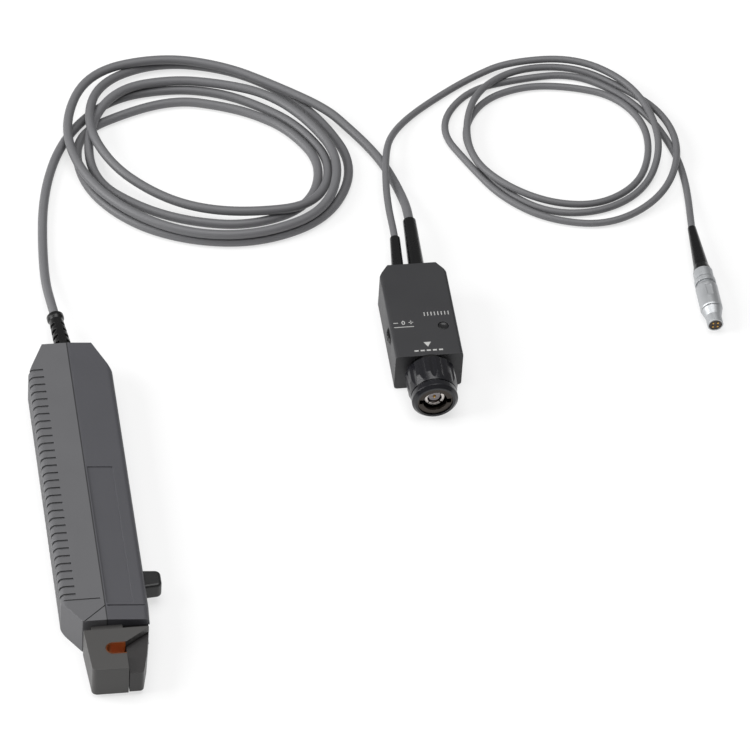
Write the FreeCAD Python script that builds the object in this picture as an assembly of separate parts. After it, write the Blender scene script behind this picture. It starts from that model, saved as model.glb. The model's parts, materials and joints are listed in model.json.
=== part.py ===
"""Clamp-on current probe for an oscilloscope: sensor head, termination box, two cables.

Millimetres, +Z up.  The probe lies on a table at Z = 0.  The origin is on the underside
of the sensor head, at the middle of its length.  The head's jaw points along -Y and all
cables leave along +Y.  Places along the head are given as a depth behind the jaw's front
face, and places along the termination box as a depth behind the box's front face.
"""
import FreeCAD
import Part
import math
import os
from FreeCAD import Vector

# ---- sensor head ---------------------------------------------------------------------
HEAD_LENGTH = 175.0
HEAD_WIDTH = 34.0
HEAD_THICKNESS = 17.6
SHELL_WALL = 1.8
SHELL_EDGE_RADIUS = 2.4
TAIL_HALF_WIDTH = 10.0       # flat at the cable end, each side of the parting plane
TAIL_TAPER = 15.4            # length over which the cable end narrows
SHOULDER_DEPTH = 35.0        # where the left side starts to narrow towards the jaw
SHELL_FRONT_DEPTH = 24.2     # front face of both half shells
SHELL_FRONT_LEFT = 9.6       # half width of the left shell at its front face
SHELL_FRONT_RIGHT = 16.6     # half width of the right shell at its front face
RIGHT_TAPER_DEPTH = 32.0     # where the right shell reaches its full width
RIGHT_TOP_DROP = 1.6         # fall of the right shell's top from the parting plane out
CAVITY_START = 42.0          # depth where the hollow of the shells begins

GRIP_GROOVES = 31
GRIP_PITCH = 4.07
GRIP_START = 38.0
GRIP_GROOVE_WIDTH = 1.1
GRIP_GROOVE_DEPTH = 0.7
GRIP_REACH = 6.2             # how far a groove runs in over the flat top and underside

LINE_WIDTH = 0.6             # narrow seam lines moulded into the shells' tops
LINE_DEPTH = 0.5
LINE_INSET = 1.5             # the left cross line stops this far from the parting plane
SEAM_DEPTH = 31.4            # where the seam lines meet on the parting plane
LABEL_START = 33.0
LABEL_LENGTH = 73.0
LABEL_WIDTH = 10.2
LABEL_INSET = 0.8
LABEL_RECESS = 0.4

# ---- jaw, measuring aperture and slider ------------------------------------------------
JAW_BASE = 1.6               # height of the jaw block's underside
JAW_HEIGHT = 14.2
JAW_FRONT_LEFT = 8.2
JAW_MOUTH_X = 5.9            # plane where the fixed jaw ends and the slider begins
JAW_BACK_DEPTH = 21.0
JAW_CORNER_RADIUS = 2.2
HOOD_THICKNESS = 2.7         # upper plate of the jaw that overhangs the slider
HOOD_START = 13.6
HOOD_REACH = 15.8
NECK_HALF_WIDTH = 6.4
NECK_BASE = 3.2
NECK_HEIGHT = 11.0
NECK_END_DEPTH = 70.0

APERTURE_DIAMETER = 5.0
APERTURE_DEPTH = 10.9
APERTURE_CENTRE_X = 0.9
LINER_WALL = 0.5

CORE_THICKNESS = 5.4
CORE_ARM = 3.0
CORE_FRONT_COVER = 2.4
CORE_LEFT = 6.2
WINDING_BUILD = 0.45
WINDING_LENGTH = 6.6
SENSOR_CHIP = 0.8
MOVING_CORE_WIDTH = 2.6

SLIDER_GAP = 0.3             # running gap between the slider and what it passes
SLIDER_HEIGHT = 10.6
SLIDER_NOSE_TIP = 5.4        # width of the nose at the front
SLIDER_NOSE_BACK = 9.9       # width of the nose where it enters the head
SLIDER_NOSE_END = 25.4
SLIDER_BAR_WIDTH = 6.6
SLIDER_BAR_END = 66.0
SLIDER_TRAVEL = 10.5
KNOB_START = 45.5
KNOB_LENGTH = 9.2
KNOB_REACH = 6.8
KNOB_HEIGHT = 7.4
KNOB_TAPER = 0.6             # narrowing of each end of the knob towards its tip
KNOB_CORNER_RADIUS = 2.2
KNOB_EDGE_RADIUS = 1.2
KNOB_RIBS = 3
KNOB_RIB_PITCH = 1.3
KNOB_RIB_RADIUS = 0.3
STEM_LENGTH = 6.0
STEM_HEIGHT = 5.6

# ---- inside the head -------------------------------------------------------------------
BOARD_THICKNESS = 1.6
HEAD_BOARD_START = 92.0
HEAD_BOARD_END_GAP = 9.4     # between the board and the rear screw boss
HEAD_BOARD_WIDTH = 24.0
HEAD_BOARD_HEIGHT = 6.6      # underside of the head's circuit board above the table
POST_WIDTH = 4.0
SCREW_RADIUS = 1.0
SCREW_HEAD_RADIUS = 1.9
SCREW_HEAD_HEIGHT = 1.2
BOSS_RADIUS = 2.6
BOSS_REACH = 11.0            # how far the screws bite into the left shell
REAR_SCREW_INSET = 15.0      # from the head's cable end
HEAD_SCREW_PLACES = ((84.0, 4.9), (84.0, 12.4), (HEAD_LENGTH - REAR_SCREW_INSET, 8.8))

# ---- cable exits -----------------------------------------------------------------------
SENSOR_CABLE_RADIUS = 1.95
POWER_CABLE_RADIUS = 1.5
RELIEF_LENGTH = 24.6
RELIEF_RADIUS = 3.9          # at the foot, outside the shell
RELIEF_TIP = 2.9
RELIEF_NECK = 2.9            # in the shell's end wall
RELIEF_FLANGE = 3.6          # behind the wall
RELIEF_FLANGE_THICKNESS = 1.2
RELIEF_COLLAR = 1.2          # straight foot before the leaning cone begins
RELIEF_STEP = 0.2
RELIEF_LEAN = 5.0            # degrees, to the left
RELIEF_RING_RADIUS = 3.5     # bead round the cable end
RELIEF_RING_LENGTH = 3.6
RELIEF_RING_CHAMFER = 1.0
RELIEF_SLOTS = 5
RELIEF_SLOT_PITCH = 3.5
RELIEF_SLOT_LENGTH = 1.6
RELIEF_SLOT_START = 2.4
RELIEF_SPINE = 1.3           # half width of the uncut band along the top and underside
RELIEF_CORE = 2.2            # radius left whole inside the slots
RELIEF_HEIGHT = 8.8
BOOT_HEIGHT = 9.0
SENSOR_BOOT_X = 3.3          # from the box's centre line
SENSOR_BOOT_LENGTH = 34.0
SENSOR_BOOT_BASE = 3.7
SENSOR_BOOT_TIP = 2.7
POWER_BOOT_X = -4.7
POWER_BOOT_LENGTH = 24.4
POWER_BOOT_BASE = 2.9
POWER_BOOT_TIP = 2.1
BOOT_FLANGE_THICKNESS = 1.4
BOOT_COLLAR = 1.2
BOOT_NECK_SHARE = 0.8        # neck in the wall, as a share of the boot's base radius
BOOT_FLARE_SHARE = 0.35      # share of the boot's length taken by its flared foot
BOOT_DROOP = 0.3
BOOT_STEP = 0.2              # the cone starts this much smaller than the boot's collar
SENSOR_BOOT_LEAN = 1.2
POWER_BOOT_LEAN = 1.8

# ---- termination box -------------------------------------------------------------------
BOX_X = 145.1
BOX_FRONT_Y = 66.4
BOX_LENGTH = 52.6
BOX_WIDTH = 27.6
BOX_HEIGHT = 18.2
BOX_WALL = 1.8
BOX_CHAMFER_X = 3.8
BOX_CHAMFER_Y = 5.4
BOX_EDGE_RADIUS = 1.4
BOX_BOARD_HEIGHT = 5.6
BOX_BOARD_START = 6.0
BOX_BOARD_LENGTH = 38.0
BOX_BOARD_WIDTH = 20.0
BOX_SCREW_DEPTH = 41.0
BOX_SCREW_X = 9.0

BUTTON_DEPTH = 16.2
BUTTON_X = 7.9
BUTTON_RADIUS = 2.1
BUTTON_GAP = 0.12
BUTTON_SINK = 0.5            # how far the button's top lies under the box's top
BUTTON_TRAVEL = 0.8
BUTTON_FLANGE = 0.6
SWITCH_SIZE = 5.6
SWITCH_HEIGHT = 3.4

WHEEL_DEPTH = 17.5
WHEEL_RADIUS = 5.6
WHEEL_THICKNESS = 2.6
WHEEL_PROUD = 1.1
WHEEL_TEETH = 20
WHEEL_NOTCH = 0.4
WHEEL_GAP = 0.35
WHEEL_HEIGHT = 11.4
WHEEL_SHAFT_RADIUS = 1.5
WHEEL_RUNNING_GAP = 0.05
POT_SIZE = 8.0

# ---- output connector (BNC plug) -------------------------------------------------------
BNC_REACH = 19.0
BNC_GRIP_RADIUS = 10.2
BNC_GRIP_FRONT_RADIUS = 9.4
BNC_GRIP_BORE = 7.2
BNC_GRIP_NOSE = 1.3          # chamfer round the grip's front
BNC_GRIP_BEVEL = 0.5         # round its back edge
BNC_GRIP_FLUTES = 14
BNC_FLUTE_RADIUS = 2.4
BNC_FLUTE_DEPTH = 0.6        # at the grip's thick end; the flutes fade out forwards
BNC_GRIP_GROOVE = 3.6        # from the grip's front back to a groove round it
BNC_GROOVE_WIDTH = 0.8
BNC_GROOVE_DEPTH = 0.5
TABLE_GAP = 0.05             # the grip just clears the table that the box lies on
BNC_RING_BORE = 4.9
BNC_LIP_GAP = 1.2            # between the barrel's shoulder and the ring's inner lip
BNC_RING_SETBACK = 0.6       # ring's front behind the grip's
BNC_COLLAR_LENGTH = 2.1      # fixed collar between the box and the turning grip
BNC_COLLAR_RADIUS = 8.2
BNC_GRIP_GAP = 0.3           # between the turning grip and the collar
BNC_BODY_RADIUS = 4.7
BNC_RUNNING_GAP = 0.05
BNC_CONTACT_RADIUS = 4.05
BNC_CONTACT_BORE = 2.9
BNC_CONTACT_RECESS = 2.6     # from the grip's front back to the contact sleeve's tip
BNC_CONTACT_LENGTH = 6.4
BNC_CONTACT_ROOT = 0.8       # the sleeve's hollow past its straight part
BNC_SPRINGS = 4              # fingers of the contact sleeve
BNC_SPRING_SLOT = 0.5
BNC_SPRING_LENGTH = 4.2
BNC_DIELECTRIC_RADIUS = 2.4
BNC_DIELECTRIC_RECESS = 3.6
BNC_PIN_RADIUS = 0.68
BNC_PIN_TIP = 3.0
BNC_PIN_POINT = 0.8          # tapered end of the pin
BNC_PIN_OVERLAP = 1.6        # how far the pin reaches over the board
BNC_LEG_WIDTH = 0.8
BNC_LEG_DEPTH = 1.0
BNC_SLOT_WIDTH = 2.3
BNC_SLOT_LENGTH = 3.6
BNC_SLOT_FLOOR = 0.7         # metal left outside each lug slot
BNC_NUT_RADIUS = 7.0
BNC_NUT_THICKNESS = 2.4
BNC_NUT_SIDES = 6

# ---- push-pull power plug --------------------------------------------------------------
PLUG_X = 267.0
PLUG_TIP_Y = 85.6
PLUG_HEIGHT = 4.7            # the plug's axis above the table
PLUG_RADIUS = 4.6
PLUG_NOSE_RADIUS = 3.3
PLUG_NOSE_LENGTH = 4.4       # straight part of the nose that enters the socket
PLUG_CONE_LENGTH = 4.1
PLUG_CONE_RADIUS = 4.3
PLUG_INSERT_RADIUS = 2.75
PLUG_INSERT_RECESS = 0.3
PLUG_SLEEVE_LENGTH = 13.2
PLUG_SLEEVE_TRAVEL = 1.0
PLUG_SLEEVE_WALL = 0.7
PLUG_RUNNING_GAP = 0.06
PLUG_END_GAP = 0.3           # left between sleeve and clamp nut when pulled right back
PLUG_BACK_LENGTH = 7.4
PLUG_BACK_RADIUS = 4.15
PLUG_RING_WIDTH = 0.6
PLUG_RING_DEPTH = 0.3
PLUG_WINDOW_LENGTH = 6.0
PLUG_WINDOW_WIDTH = 2.4
PLUG_WINDOW_DEPTH = 0.3
PLUG_WINDOWS = 2
PLUG_PINS = 4
PLUG_PIN_RADIUS = 0.35
PLUG_PIN_CIRCLE = 1.35
PLUG_BOOT_LENGTH = 26.4
PLUG_BOOT_BASE = 3.95
PLUG_BOOT_KNEE = 3.15
PLUG_BOOT_FLARE = 0.14
PLUG_BOOT_TIP = 1.75

# ---- cables ----------------------------------------------------------------------------
# Control points of each loose stretch, in order away from its first fitting.
SENSOR_LEAD = (
    (-2.1, 112.0, 8.8), (-2.9, 122.0, 7.6), (-3.3, 134.0, 4.4), (-2.9, 147.0, 2.4),
    (-1.8, 163.0, 2.0), (0.2, 181.0, 2.0), (4.2, 199.0, 2.0), (10.6, 216.0, 2.0),
    (20.5, 231.0, 2.0),
)
SENSOR_TAIL = (
    (149.6, 153.0, 8.7), (150.0, 162.0, 7.2), (149.5, 172.5, 4.0), (148.0, 183.0, 2.4),
    (144.8, 195.0, 2.1), (139.8, 206.2, 2.1), (133.0, 216.6, 3.2), (124.6, 226.6, 5.8),
)
POWER_LEAD = (
    (142.2, 143.4, 8.7), (142.4, 151.5, 8.2), (142.4, 162.5, 7.0), (143.3, 178.0, 6.4),
    (146.3, 199.0, 6.2), (151.2, 212.0, 3.0), (160.0, 223.0, 1.6), (174.0, 234.0, 1.55),
    (189.5, 244.0, 1.9), (206.0, 250.5, 3.6),
)
POWER_TAIL = (
    (267.0, 197.0, 1.6), (269.3, 185.5, 1.6), (269.8, 172.5, 1.6), (269.0, 160.5, 2.2),
    (267.8, 150.6, 4.0), (267.0, 142.4, 4.7),
)
# Each coil is a flat ring between two ovals: centre, half length, half width.
COIL_TURN_ANGLE = -42.0
SENSOR_COIL_OUTER = ((73.0, 209.5), 65.0, 57.5)
SENSOR_COIL_INNER = ((72.0, 206.6), 46.5, 29.5)
SENSOR_COIL_HEIGHT = 8.4
POWER_COIL_OUTER = ((221.5, 201.0), 52.5, 49.5)
POWER_COIL_INNER = ((221.5, 201.0), 36.0, 32.0)
POWER_COIL_HEIGHT = 7.2

# ---- values worked out from the sizes above --------------------------------------------
HALF_WIDTH = HEAD_WIDTH / 2
JAW_FRONT_Y = -HEAD_LENGTH / 2
HEAD_END_Y = HEAD_LENGTH / 2
HEAD_BOARD_LENGTH = (HEAD_LENGTH - REAR_SCREW_INSET - BOSS_RADIUS - HEAD_BOARD_END_GAP
                     - HEAD_BOARD_START)
JAW_TOP = JAW_BASE + JAW_HEIGHT
SLIDER_BASE = JAW_BASE + SLIDER_GAP + 0.2
SLIDER_TOP = SLIDER_BASE + SLIDER_HEIGHT
SLIDER_LEFT = JAW_MOUTH_X + SLIDER_GAP
CORE_MID_HEIGHT = SLIDER_BASE + SLIDER_HEIGHT / 2
CORE_BASE = CORE_MID_HEIGHT - CORE_THICKNESS / 2
CORE_BACK_DEPTH = 2 * APERTURE_DEPTH - CORE_FRONT_COVER
BOX_END_Y = BOX_FRONT_Y + BOX_LENGTH
BOX_MID_HEIGHT = BOX_HEIGHT / 2
BNC_HEIGHT = BNC_GRIP_RADIUS + TABLE_GAP
BNC_FRONT_Y = BOX_FRONT_Y - BNC_REACH
BNC_GRIP_BACK_Y = BOX_FRONT_Y - BNC_COLLAR_LENGTH - BNC_GRIP_GAP
BOX_BOARD_TOP = BOX_BOARD_HEIGHT + BOARD_THICKNESS
PLUG_SLEEVE_START = PLUG_TIP_Y + PLUG_NOSE_LENGTH + PLUG_CONE_LENGTH
PLUG_BACK_START = (PLUG_SLEEVE_START + PLUG_SLEEVE_LENGTH + PLUG_SLEEVE_TRAVEL
                   + PLUG_END_GAP)
PLUG_METAL_END = PLUG_BACK_START + PLUG_BACK_LENGTH
OVERSHOOT = 1.0              # how far a cutting solid runs past the face that it cuts


# ---- shared operations -----------------------------------------------------------------
def block(x0, x1, y0, y1, z0, z1):
    """Rectangular solid between two corners."""
    return Part.makeBox(x1 - x0, y1 - y0, z1 - z0, Vector(x0, y0, z0))


def prism(outline, z0, z1):
    """Upright solid on a closed outline of (x, y) points."""
    points = [Vector(x, y, z0) for x, y in outline]
    face = Part.Face(Part.makePolygon(points + points[:1]))
    return face.extrude(Vector(0, 0, z1 - z0))


def profile_along_y(outline, y0, y1):
    """Solid with a closed outline of (x, z) points, running along Y."""
    points = [Vector(x, y0, z) for x, z in outline]
    face = Part.Face(Part.makePolygon(points + points[:1]))
    return face.extrude(Vector(0, y1 - y0, 0))


def rod(x, y0, y1, z, radius):
    """Round bar along Y."""
    return Part.makeCylinder(radius, y1 - y0, Vector(x, y0, z), Vector(0, 1, 0))


def tube_along_y(x, y0, y1, z, radius, bore):
    """Round tube along Y."""
    return rod(x, y0, y1, z, radius).cut(rod(x, y0 - OVERSHOOT, y1 + OVERSHOOT, z, bore))


def turned_along_y(x, z, outline):
    """Solid of revolution about an axis along Y, from (radius, y) points."""
    points = [Vector(x + r, y, z) for r, y in outline]
    face = Part.Face(Part.makePolygon(points + points[:1]))
    return face.revolve(Vector(x, 0, z), Vector(0, 1, 0), 360)


def rounded(shape, radius, wanted):
    """Round the edges for which wanted(midpoint, direction) holds."""
    edges = []
    for edge in shape.Edges:
        middle = edge.valueAt((edge.FirstParameter + edge.LastParameter) / 2)
        direction = edge.tangentAt((edge.FirstParameter + edge.LastParameter) / 2)
        if wanted(middle, direction):
            edges.append(edge)
    return shape.makeFillet(radius, edges)


def head_y(depth):
    """Y of a place at this depth behind the jaw's front face."""
    return JAW_FRONT_Y + depth


def box_y(depth):
    """Y of a place at this depth behind the termination box's front face."""
    return BOX_FRONT_Y + depth


def save(name, shape):
    """Write one named sub-part."""
    if shape.ShapeType == "Compound" and len(shape.Solids) == 1:
        shape = shape.Solids[0]
    if not shape.isValid() or not shape.Solids:
        raise ValueError("sub-part is not a valid solid: " + name)
    shape.exportStep("parts/" + name + ".step")


# ---- head shells -----------------------------------------------------------------------
def head_outline(side, inset=0.0):
    """Half of the head's plan from the parting plane out, on side -1 (left) or +1."""
    if side < 0:
        front_half, taper_depth = SHELL_FRONT_LEFT, SHOULDER_DEPTH
    else:
        front_half, taper_depth = SHELL_FRONT_RIGHT, RIGHT_TAPER_DEPTH
    end = HEAD_LENGTH - inset
    slant = inset * 0.45
    points = [
        (0, SHELL_FRONT_DEPTH if inset == 0 else CAVITY_START),
        (front_half if inset == 0 else HALF_WIDTH - inset,
         SHELL_FRONT_DEPTH if inset == 0 else CAVITY_START),
        (HALF_WIDTH - inset, taper_depth if inset == 0 else CAVITY_START + OVERSHOOT),
        (HALF_WIDTH - inset, HEAD_LENGTH - TAIL_TAPER - slant),
        (TAIL_HALF_WIDTH - slant, end),
        (0, end),
    ]
    return [(side * x, head_y(depth)) for x, depth in points]


def half_shell(side):
    """One half of the head's casing, hollow, before its own openings are cut."""
    solid = prism(head_outline(side), 0, HEAD_THICKNESS)
    if side > 0:
        slope = [
            (LABEL_INSET, HEAD_THICKNESS),
            (HALF_WIDTH + OVERSHOOT,
             HEAD_THICKNESS - RIGHT_TOP_DROP * (1 + OVERSHOOT / HALF_WIDTH)),
            (HALF_WIDTH + OVERSHOOT, HEAD_THICKNESS + OVERSHOOT),
            (LABEL_INSET, HEAD_THICKNESS + OVERSHOOT),
        ]
        solid = solid.cut(profile_along_y(slope, JAW_FRONT_Y, HEAD_END_Y + OVERSHOOT))

    def outer_long_edge(middle, direction):
        at_side = abs(abs(middle.x) - HALF_WIDTH) < 0.01
        return at_side and abs(direction.y) > 0.99

    solid = rounded(solid, SHELL_EDGE_RADIUS, outer_long_edge)
    top = HEAD_THICKNESS - SHELL_WALL - (RIGHT_TOP_DROP if side > 0 else 0)
    hollow = prism(head_outline(side, SHELL_WALL), SHELL_WALL, top)
    solid = solid.cut(hollow)
    reach = min(0, side * NECK_HALF_WIDTH), max(0, side * JAW_MOUTH_X)
    throat = block(reach[0], reach[1], head_y(SHELL_FRONT_DEPTH) - OVERSHOOT,
                   head_y(CAVITY_START) + OVERSHOOT, NECK_BASE, NECK_BASE + NECK_HEIGHT)
    solid = solid.cut(throat)
    exit_bore = rod(0, HEAD_END_Y - SHELL_WALL - OVERSHOOT, HEAD_END_Y + OVERSHOOT,
                    RELIEF_HEIGHT, RELIEF_NECK)
    solid = solid.cut(exit_bore)
    return solid.fuse(board_posts(side)).fuse(screw_bosses(side)).removeSplitter()


def board_posts(side):
    """Two posts on the shell's floor that carry the circuit board."""
    posts = []
    x = side * (HEAD_BOARD_WIDTH / 2 - POST_WIDTH / 2)
    for depth in (HEAD_BOARD_START + POST_WIDTH,
                  HEAD_BOARD_START + HEAD_BOARD_LENGTH - POST_WIDTH):
        posts.append(block(x - POST_WIDTH / 2, x + POST_WIDTH / 2,
                           head_y(depth) - POST_WIDTH / 2, head_y(depth) + POST_WIDTH / 2,
                           SHELL_WALL / 2, HEAD_BOARD_HEIGHT))
    return posts


def screw_bosses(side):
    """Round bosses from the side wall to the parting plane, one per screw."""
    length = HALF_WIDTH - SHELL_WALL / 2
    return [Part.makeCylinder(BOSS_RADIUS, length, Vector(0, head_y(depth), height),
                              Vector(side, 0, 0))
            for depth, height in HEAD_SCREW_PLACES]


def screw_shape(grow=0.0):
    """The screws that join the two half shells, along X; grow gives their holes."""
    screws = []
    for depth, height in HEAD_SCREW_PLACES:
        start = Vector(-BOSS_REACH, head_y(depth), height)
        under_head = HALF_WIDTH - SCREW_HEAD_HEIGHT - LINE_DEPTH
        shank = Part.makeCylinder(SCREW_RADIUS + grow, under_head + BOSS_REACH,
                                  start, Vector(1, 0, 0))
        cap_length = SCREW_HEAD_HEIGHT if grow == 0 else HALF_WIDTH - under_head + OVERSHOOT
        cap = Part.makeCylinder(SCREW_HEAD_RADIUS + grow, cap_length,
                                Vector(under_head, head_y(depth), height),
                                Vector(1, 0, 0))
        screws.append(shank.fuse(cap).removeSplitter())
    return screws


def left_shell():
    """Left half of the head: ribbed along its outer edge, with two seam lines."""
    solid = half_shell(-1)
    cuts = []
    inner_x = -HALF_WIDTH + GRIP_REACH
    groove_floor_x = -HALF_WIDTH + GRIP_GROOVE_DEPTH
    keep = block(groove_floor_x, inner_x + OVERSHOOT, JAW_FRONT_Y, HEAD_END_Y,
                 GRIP_GROOVE_DEPTH, HEAD_THICKNESS - GRIP_GROOVE_DEPTH)

    def groove_floor_edge(middle, direction):
        return abs(middle.x - groove_floor_x) < 0.01 and abs(direction.y) > 0.99

    keep = rounded(keep, SHELL_EDGE_RADIUS - GRIP_GROOVE_DEPTH, groove_floor_edge)
    for i in range(GRIP_GROOVES):
        y = head_y(GRIP_START + i * GRIP_PITCH)
        ring = block(-HALF_WIDTH - OVERSHOOT, inner_x, y, y + GRIP_GROOVE_WIDTH,
                     -OVERSHOOT, HEAD_THICKNESS + OVERSHOOT)
        cuts.append(ring.cut(keep))
    top = HEAD_THICKNESS
    line_y = head_y(SHOULDER_DEPTH) + LINE_WIDTH / 2
    cross = block(-HALF_WIDTH - OVERSHOOT, -LINE_INSET, line_y, line_y + LINE_WIDTH,
                  top - LINE_DEPTH, top + OVERSHOOT)
    slope = (SEAM_DEPTH - SHELL_FRONT_DEPTH) / (SHELL_FRONT_LEFT - 2 * LINE_WIDTH)
    reach = SHELL_FRONT_LEFT + OVERSHOOT
    seam = [(OVERSHOOT, head_y(SEAM_DEPTH + slope * OVERSHOOT)),
            (OVERSHOOT, head_y(SEAM_DEPTH + slope * OVERSHOOT) + LINE_WIDTH),
            (-reach, head_y(SEAM_DEPTH - slope * reach) + LINE_WIDTH),
            (-reach, head_y(SEAM_DEPTH - slope * reach))]
    cuts.append(cross)
    cuts.append(prism(seam, top - LINE_DEPTH, top + OVERSHOOT))
    return solid.cut(cuts + screw_shape(WHEEL_RUNNING_GAP))


def right_shell():
    """Right half: sloping top, label recess, slider channel and lever slot."""
    solid = half_shell(1)
    fall = RIGHT_TOP_DROP / HALF_WIDTH
    x0, x1 = LABEL_INSET, LABEL_INSET + LABEL_WIDTH
    floor_0 = HEAD_THICKNESS - fall * x0 - LABEL_RECESS
    floor_1 = HEAD_THICKNESS - fall * x1 - LABEL_RECESS
    recess = [(x0, floor_0), (x1, floor_1), (x1, HEAD_THICKNESS + OVERSHOOT),
              (x0, HEAD_THICKNESS + OVERSHOOT)]
    label = profile_along_y(recess, head_y(LABEL_START),
                            head_y(LABEL_START + LABEL_LENGTH))
    line_floor = HEAD_THICKNESS - RIGHT_TOP_DROP - LINE_DEPTH
    cross = profile_along_y([(x0, HEAD_THICKNESS - LINE_DEPTH),
                             (HALF_WIDTH + OVERSHOOT, line_floor),
                             (HALF_WIDTH + OVERSHOOT, HEAD_THICKNESS + OVERSHOOT),
                             (x0, HEAD_THICKNESS + OVERSHOOT)],
                            head_y(SEAM_DEPTH), head_y(SEAM_DEPTH) + LINE_WIDTH)
    channel_base = SLIDER_BASE - SLIDER_GAP
    channel_top = SLIDER_TOP + SLIDER_GAP
    bar_right = SLIDER_LEFT + SLIDER_BAR_WIDTH + SLIDER_GAP
    channel = block(JAW_MOUTH_X - SLIDER_GAP, bar_right,
                    head_y(SHELL_FRONT_DEPTH) - OVERSHOOT,
                    head_y(SLIDER_BAR_END + SLIDER_TRAVEL + SLIDER_GAP),
                    channel_base, channel_top)
    window = block(SLIDER_LEFT, HALF_WIDTH + OVERSHOOT,
                   head_y(SHELL_FRONT_DEPTH) - OVERSHOOT,
                   head_y(SLIDER_NOSE_END + SLIDER_TRAVEL + SLIDER_GAP),
                   channel_base, channel_top)
    stem_start, stem_base = stem_corner()
    slot = block(bar_right - OVERSHOOT, HALF_WIDTH + OVERSHOOT,
                 head_y(stem_start - SLIDER_GAP),
                 head_y(stem_start + STEM_LENGTH + SLIDER_TRAVEL + SLIDER_GAP),
                 stem_base - SLIDER_GAP, stem_base + STEM_HEIGHT + SLIDER_GAP)
    return solid.cut([label, cross, channel, window, slot] +
                     screw_shape(WHEEL_RUNNING_GAP))


# ---- jaw, aperture liner and magnetic circuit ------------------------------------------
def notch(radius, z0, z1):
    """Slot with one round end, open towards +X at the jaw's mouth."""
    y = head_y(APERTURE_DEPTH)
    round_end = Part.makeCylinder(radius, z1 - z0, Vector(APERTURE_CENTRE_X, y, z0))
    mouth = block(APERTURE_CENTRE_X, JAW_MOUTH_X + OVERSHOOT, y - radius, y + radius,
                  z0, z1)
    return round_end.fuse(mouth).removeSplitter()


def core_arm_spans():
    """Depths of the front and the back arm of the magnetic circuit."""
    front = CORE_FRONT_COVER, CORE_FRONT_COVER + CORE_ARM
    back = CORE_BACK_DEPTH - CORE_ARM, CORE_BACK_DEPTH
    return front, back


def fixed_core():
    """U-shaped ferrite in two pieces, with a gap in its back arm for the sensor chip."""
    front, back = core_arm_spans()
    z0, z1 = CORE_BASE, CORE_BASE + CORE_THICKNESS
    whole = block(-CORE_LEFT, JAW_MOUTH_X, head_y(front[0]), head_y(back[1]), z0, z1)
    inside = block(-CORE_LEFT + CORE_ARM, JAW_MOUTH_X + OVERSHOOT,
                   head_y(front[1]), head_y(back[0]), z0, z1)
    return whole.cut(inside).cut(sensor_chip_body(0, OVERSHOOT))


def sensor_chip_body(start, extra):
    """Flat magnetic sensor that fills the gap in the back arm."""
    back = core_arm_spans()[1]
    return block(start, start + SENSOR_CHIP, head_y(back[0]) - extra,
                 head_y(back[1]) + extra, CORE_BASE - extra,
                 CORE_BASE + CORE_THICKNESS + extra)


def winding():
    """Pick-up winding on the closed side of the core."""
    x0, x1 = -CORE_LEFT, -CORE_LEFT + CORE_ARM
    y0 = head_y(APERTURE_DEPTH - WINDING_LENGTH / 2)
    y1 = head_y(APERTURE_DEPTH + WINDING_LENGTH / 2)
    z0, z1 = CORE_BASE, CORE_BASE + CORE_THICKNESS
    build = WINDING_BUILD
    outer = block(x0 - build, x1 + build, y0, y1, z0 - build, z1 + build)
    return outer.cut(block(x0, x1, y0 - OVERSHOOT, y1 + OVERSHOOT, z0, z1))


def jaw_block():
    """Fixed jaw moulded round the core, with its hood, neck and lined notch."""
    outline = [(-JAW_FRONT_LEFT, head_y(0)), (JAW_MOUTH_X, head_y(0)),
               (JAW_MOUTH_X, head_y(JAW_BACK_DEPTH)),
               (-SHELL_FRONT_LEFT, head_y(JAW_BACK_DEPTH))]
    body = prism(outline, JAW_BASE, JAW_TOP)

    def front_left_corner(middle, direction):
        at_corner = abs(middle.x + JAW_FRONT_LEFT) < 0.01
        return at_corner and abs(direction.z) > 0.99

    body = rounded(body, JAW_CORNER_RADIUS, front_left_corner)
    hood = prism([(JAW_MOUTH_X, head_y(HOOD_START)),
                  (HOOD_REACH, head_y(JAW_BACK_DEPTH) - 0.6),
                  (HOOD_REACH, head_y(JAW_BACK_DEPTH)),
                  (JAW_MOUTH_X, head_y(JAW_BACK_DEPTH))],
                 JAW_TOP - HOOD_THICKNESS, JAW_TOP)
    neck = block(-NECK_HALF_WIDTH, JAW_MOUTH_X, head_y(JAW_BACK_DEPTH),
                 head_y(NECK_END_DEPTH), NECK_BASE, NECK_BASE + NECK_HEIGHT)
    cable_way = rod(-NECK_HALF_WIDTH / 4, head_y(JAW_BACK_DEPTH) + OVERSHOOT,
                    head_y(NECK_END_DEPTH) + OVERSHOOT,
                    CORE_MID_HEIGHT, SENSOR_CABLE_RADIUS)
    body = body.fuse([hood, neck]).removeSplitter()
    lined = notch(APERTURE_DIAMETER / 2 + LINER_WALL, JAW_BASE - OVERSHOOT,
                  JAW_TOP + OVERSHOOT)
    body = body.cut([lined, cable_way, fixed_core(), sensor_chip_body(0, 0), winding()])
    return body


def aperture_liner():
    """Copper shield that lines the notch."""
    outer = notch(APERTURE_DIAMETER / 2 + LINER_WALL, JAW_BASE, JAW_TOP)
    inner = notch(APERTURE_DIAMETER / 2, JAW_BASE - OVERSHOOT, JAW_TOP + OVERSHOOT)
    beyond = block(JAW_MOUTH_X, JAW_MOUTH_X + 2 * OVERSHOOT,
                   head_y(0), head_y(JAW_BACK_DEPTH), JAW_BASE - OVERSHOOT,
                   JAW_TOP + OVERSHOOT)
    return outer.cut([inner, beyond])


def moving_core():
    """Straight ferrite in the slider that closes the magnetic circuit."""
    front, back = core_arm_spans()
    return block(SLIDER_LEFT, SLIDER_LEFT + MOVING_CORE_WIDTH, head_y(front[0]),
                 head_y(back[1]), CORE_BASE, CORE_BASE + CORE_THICKNESS)


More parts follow.
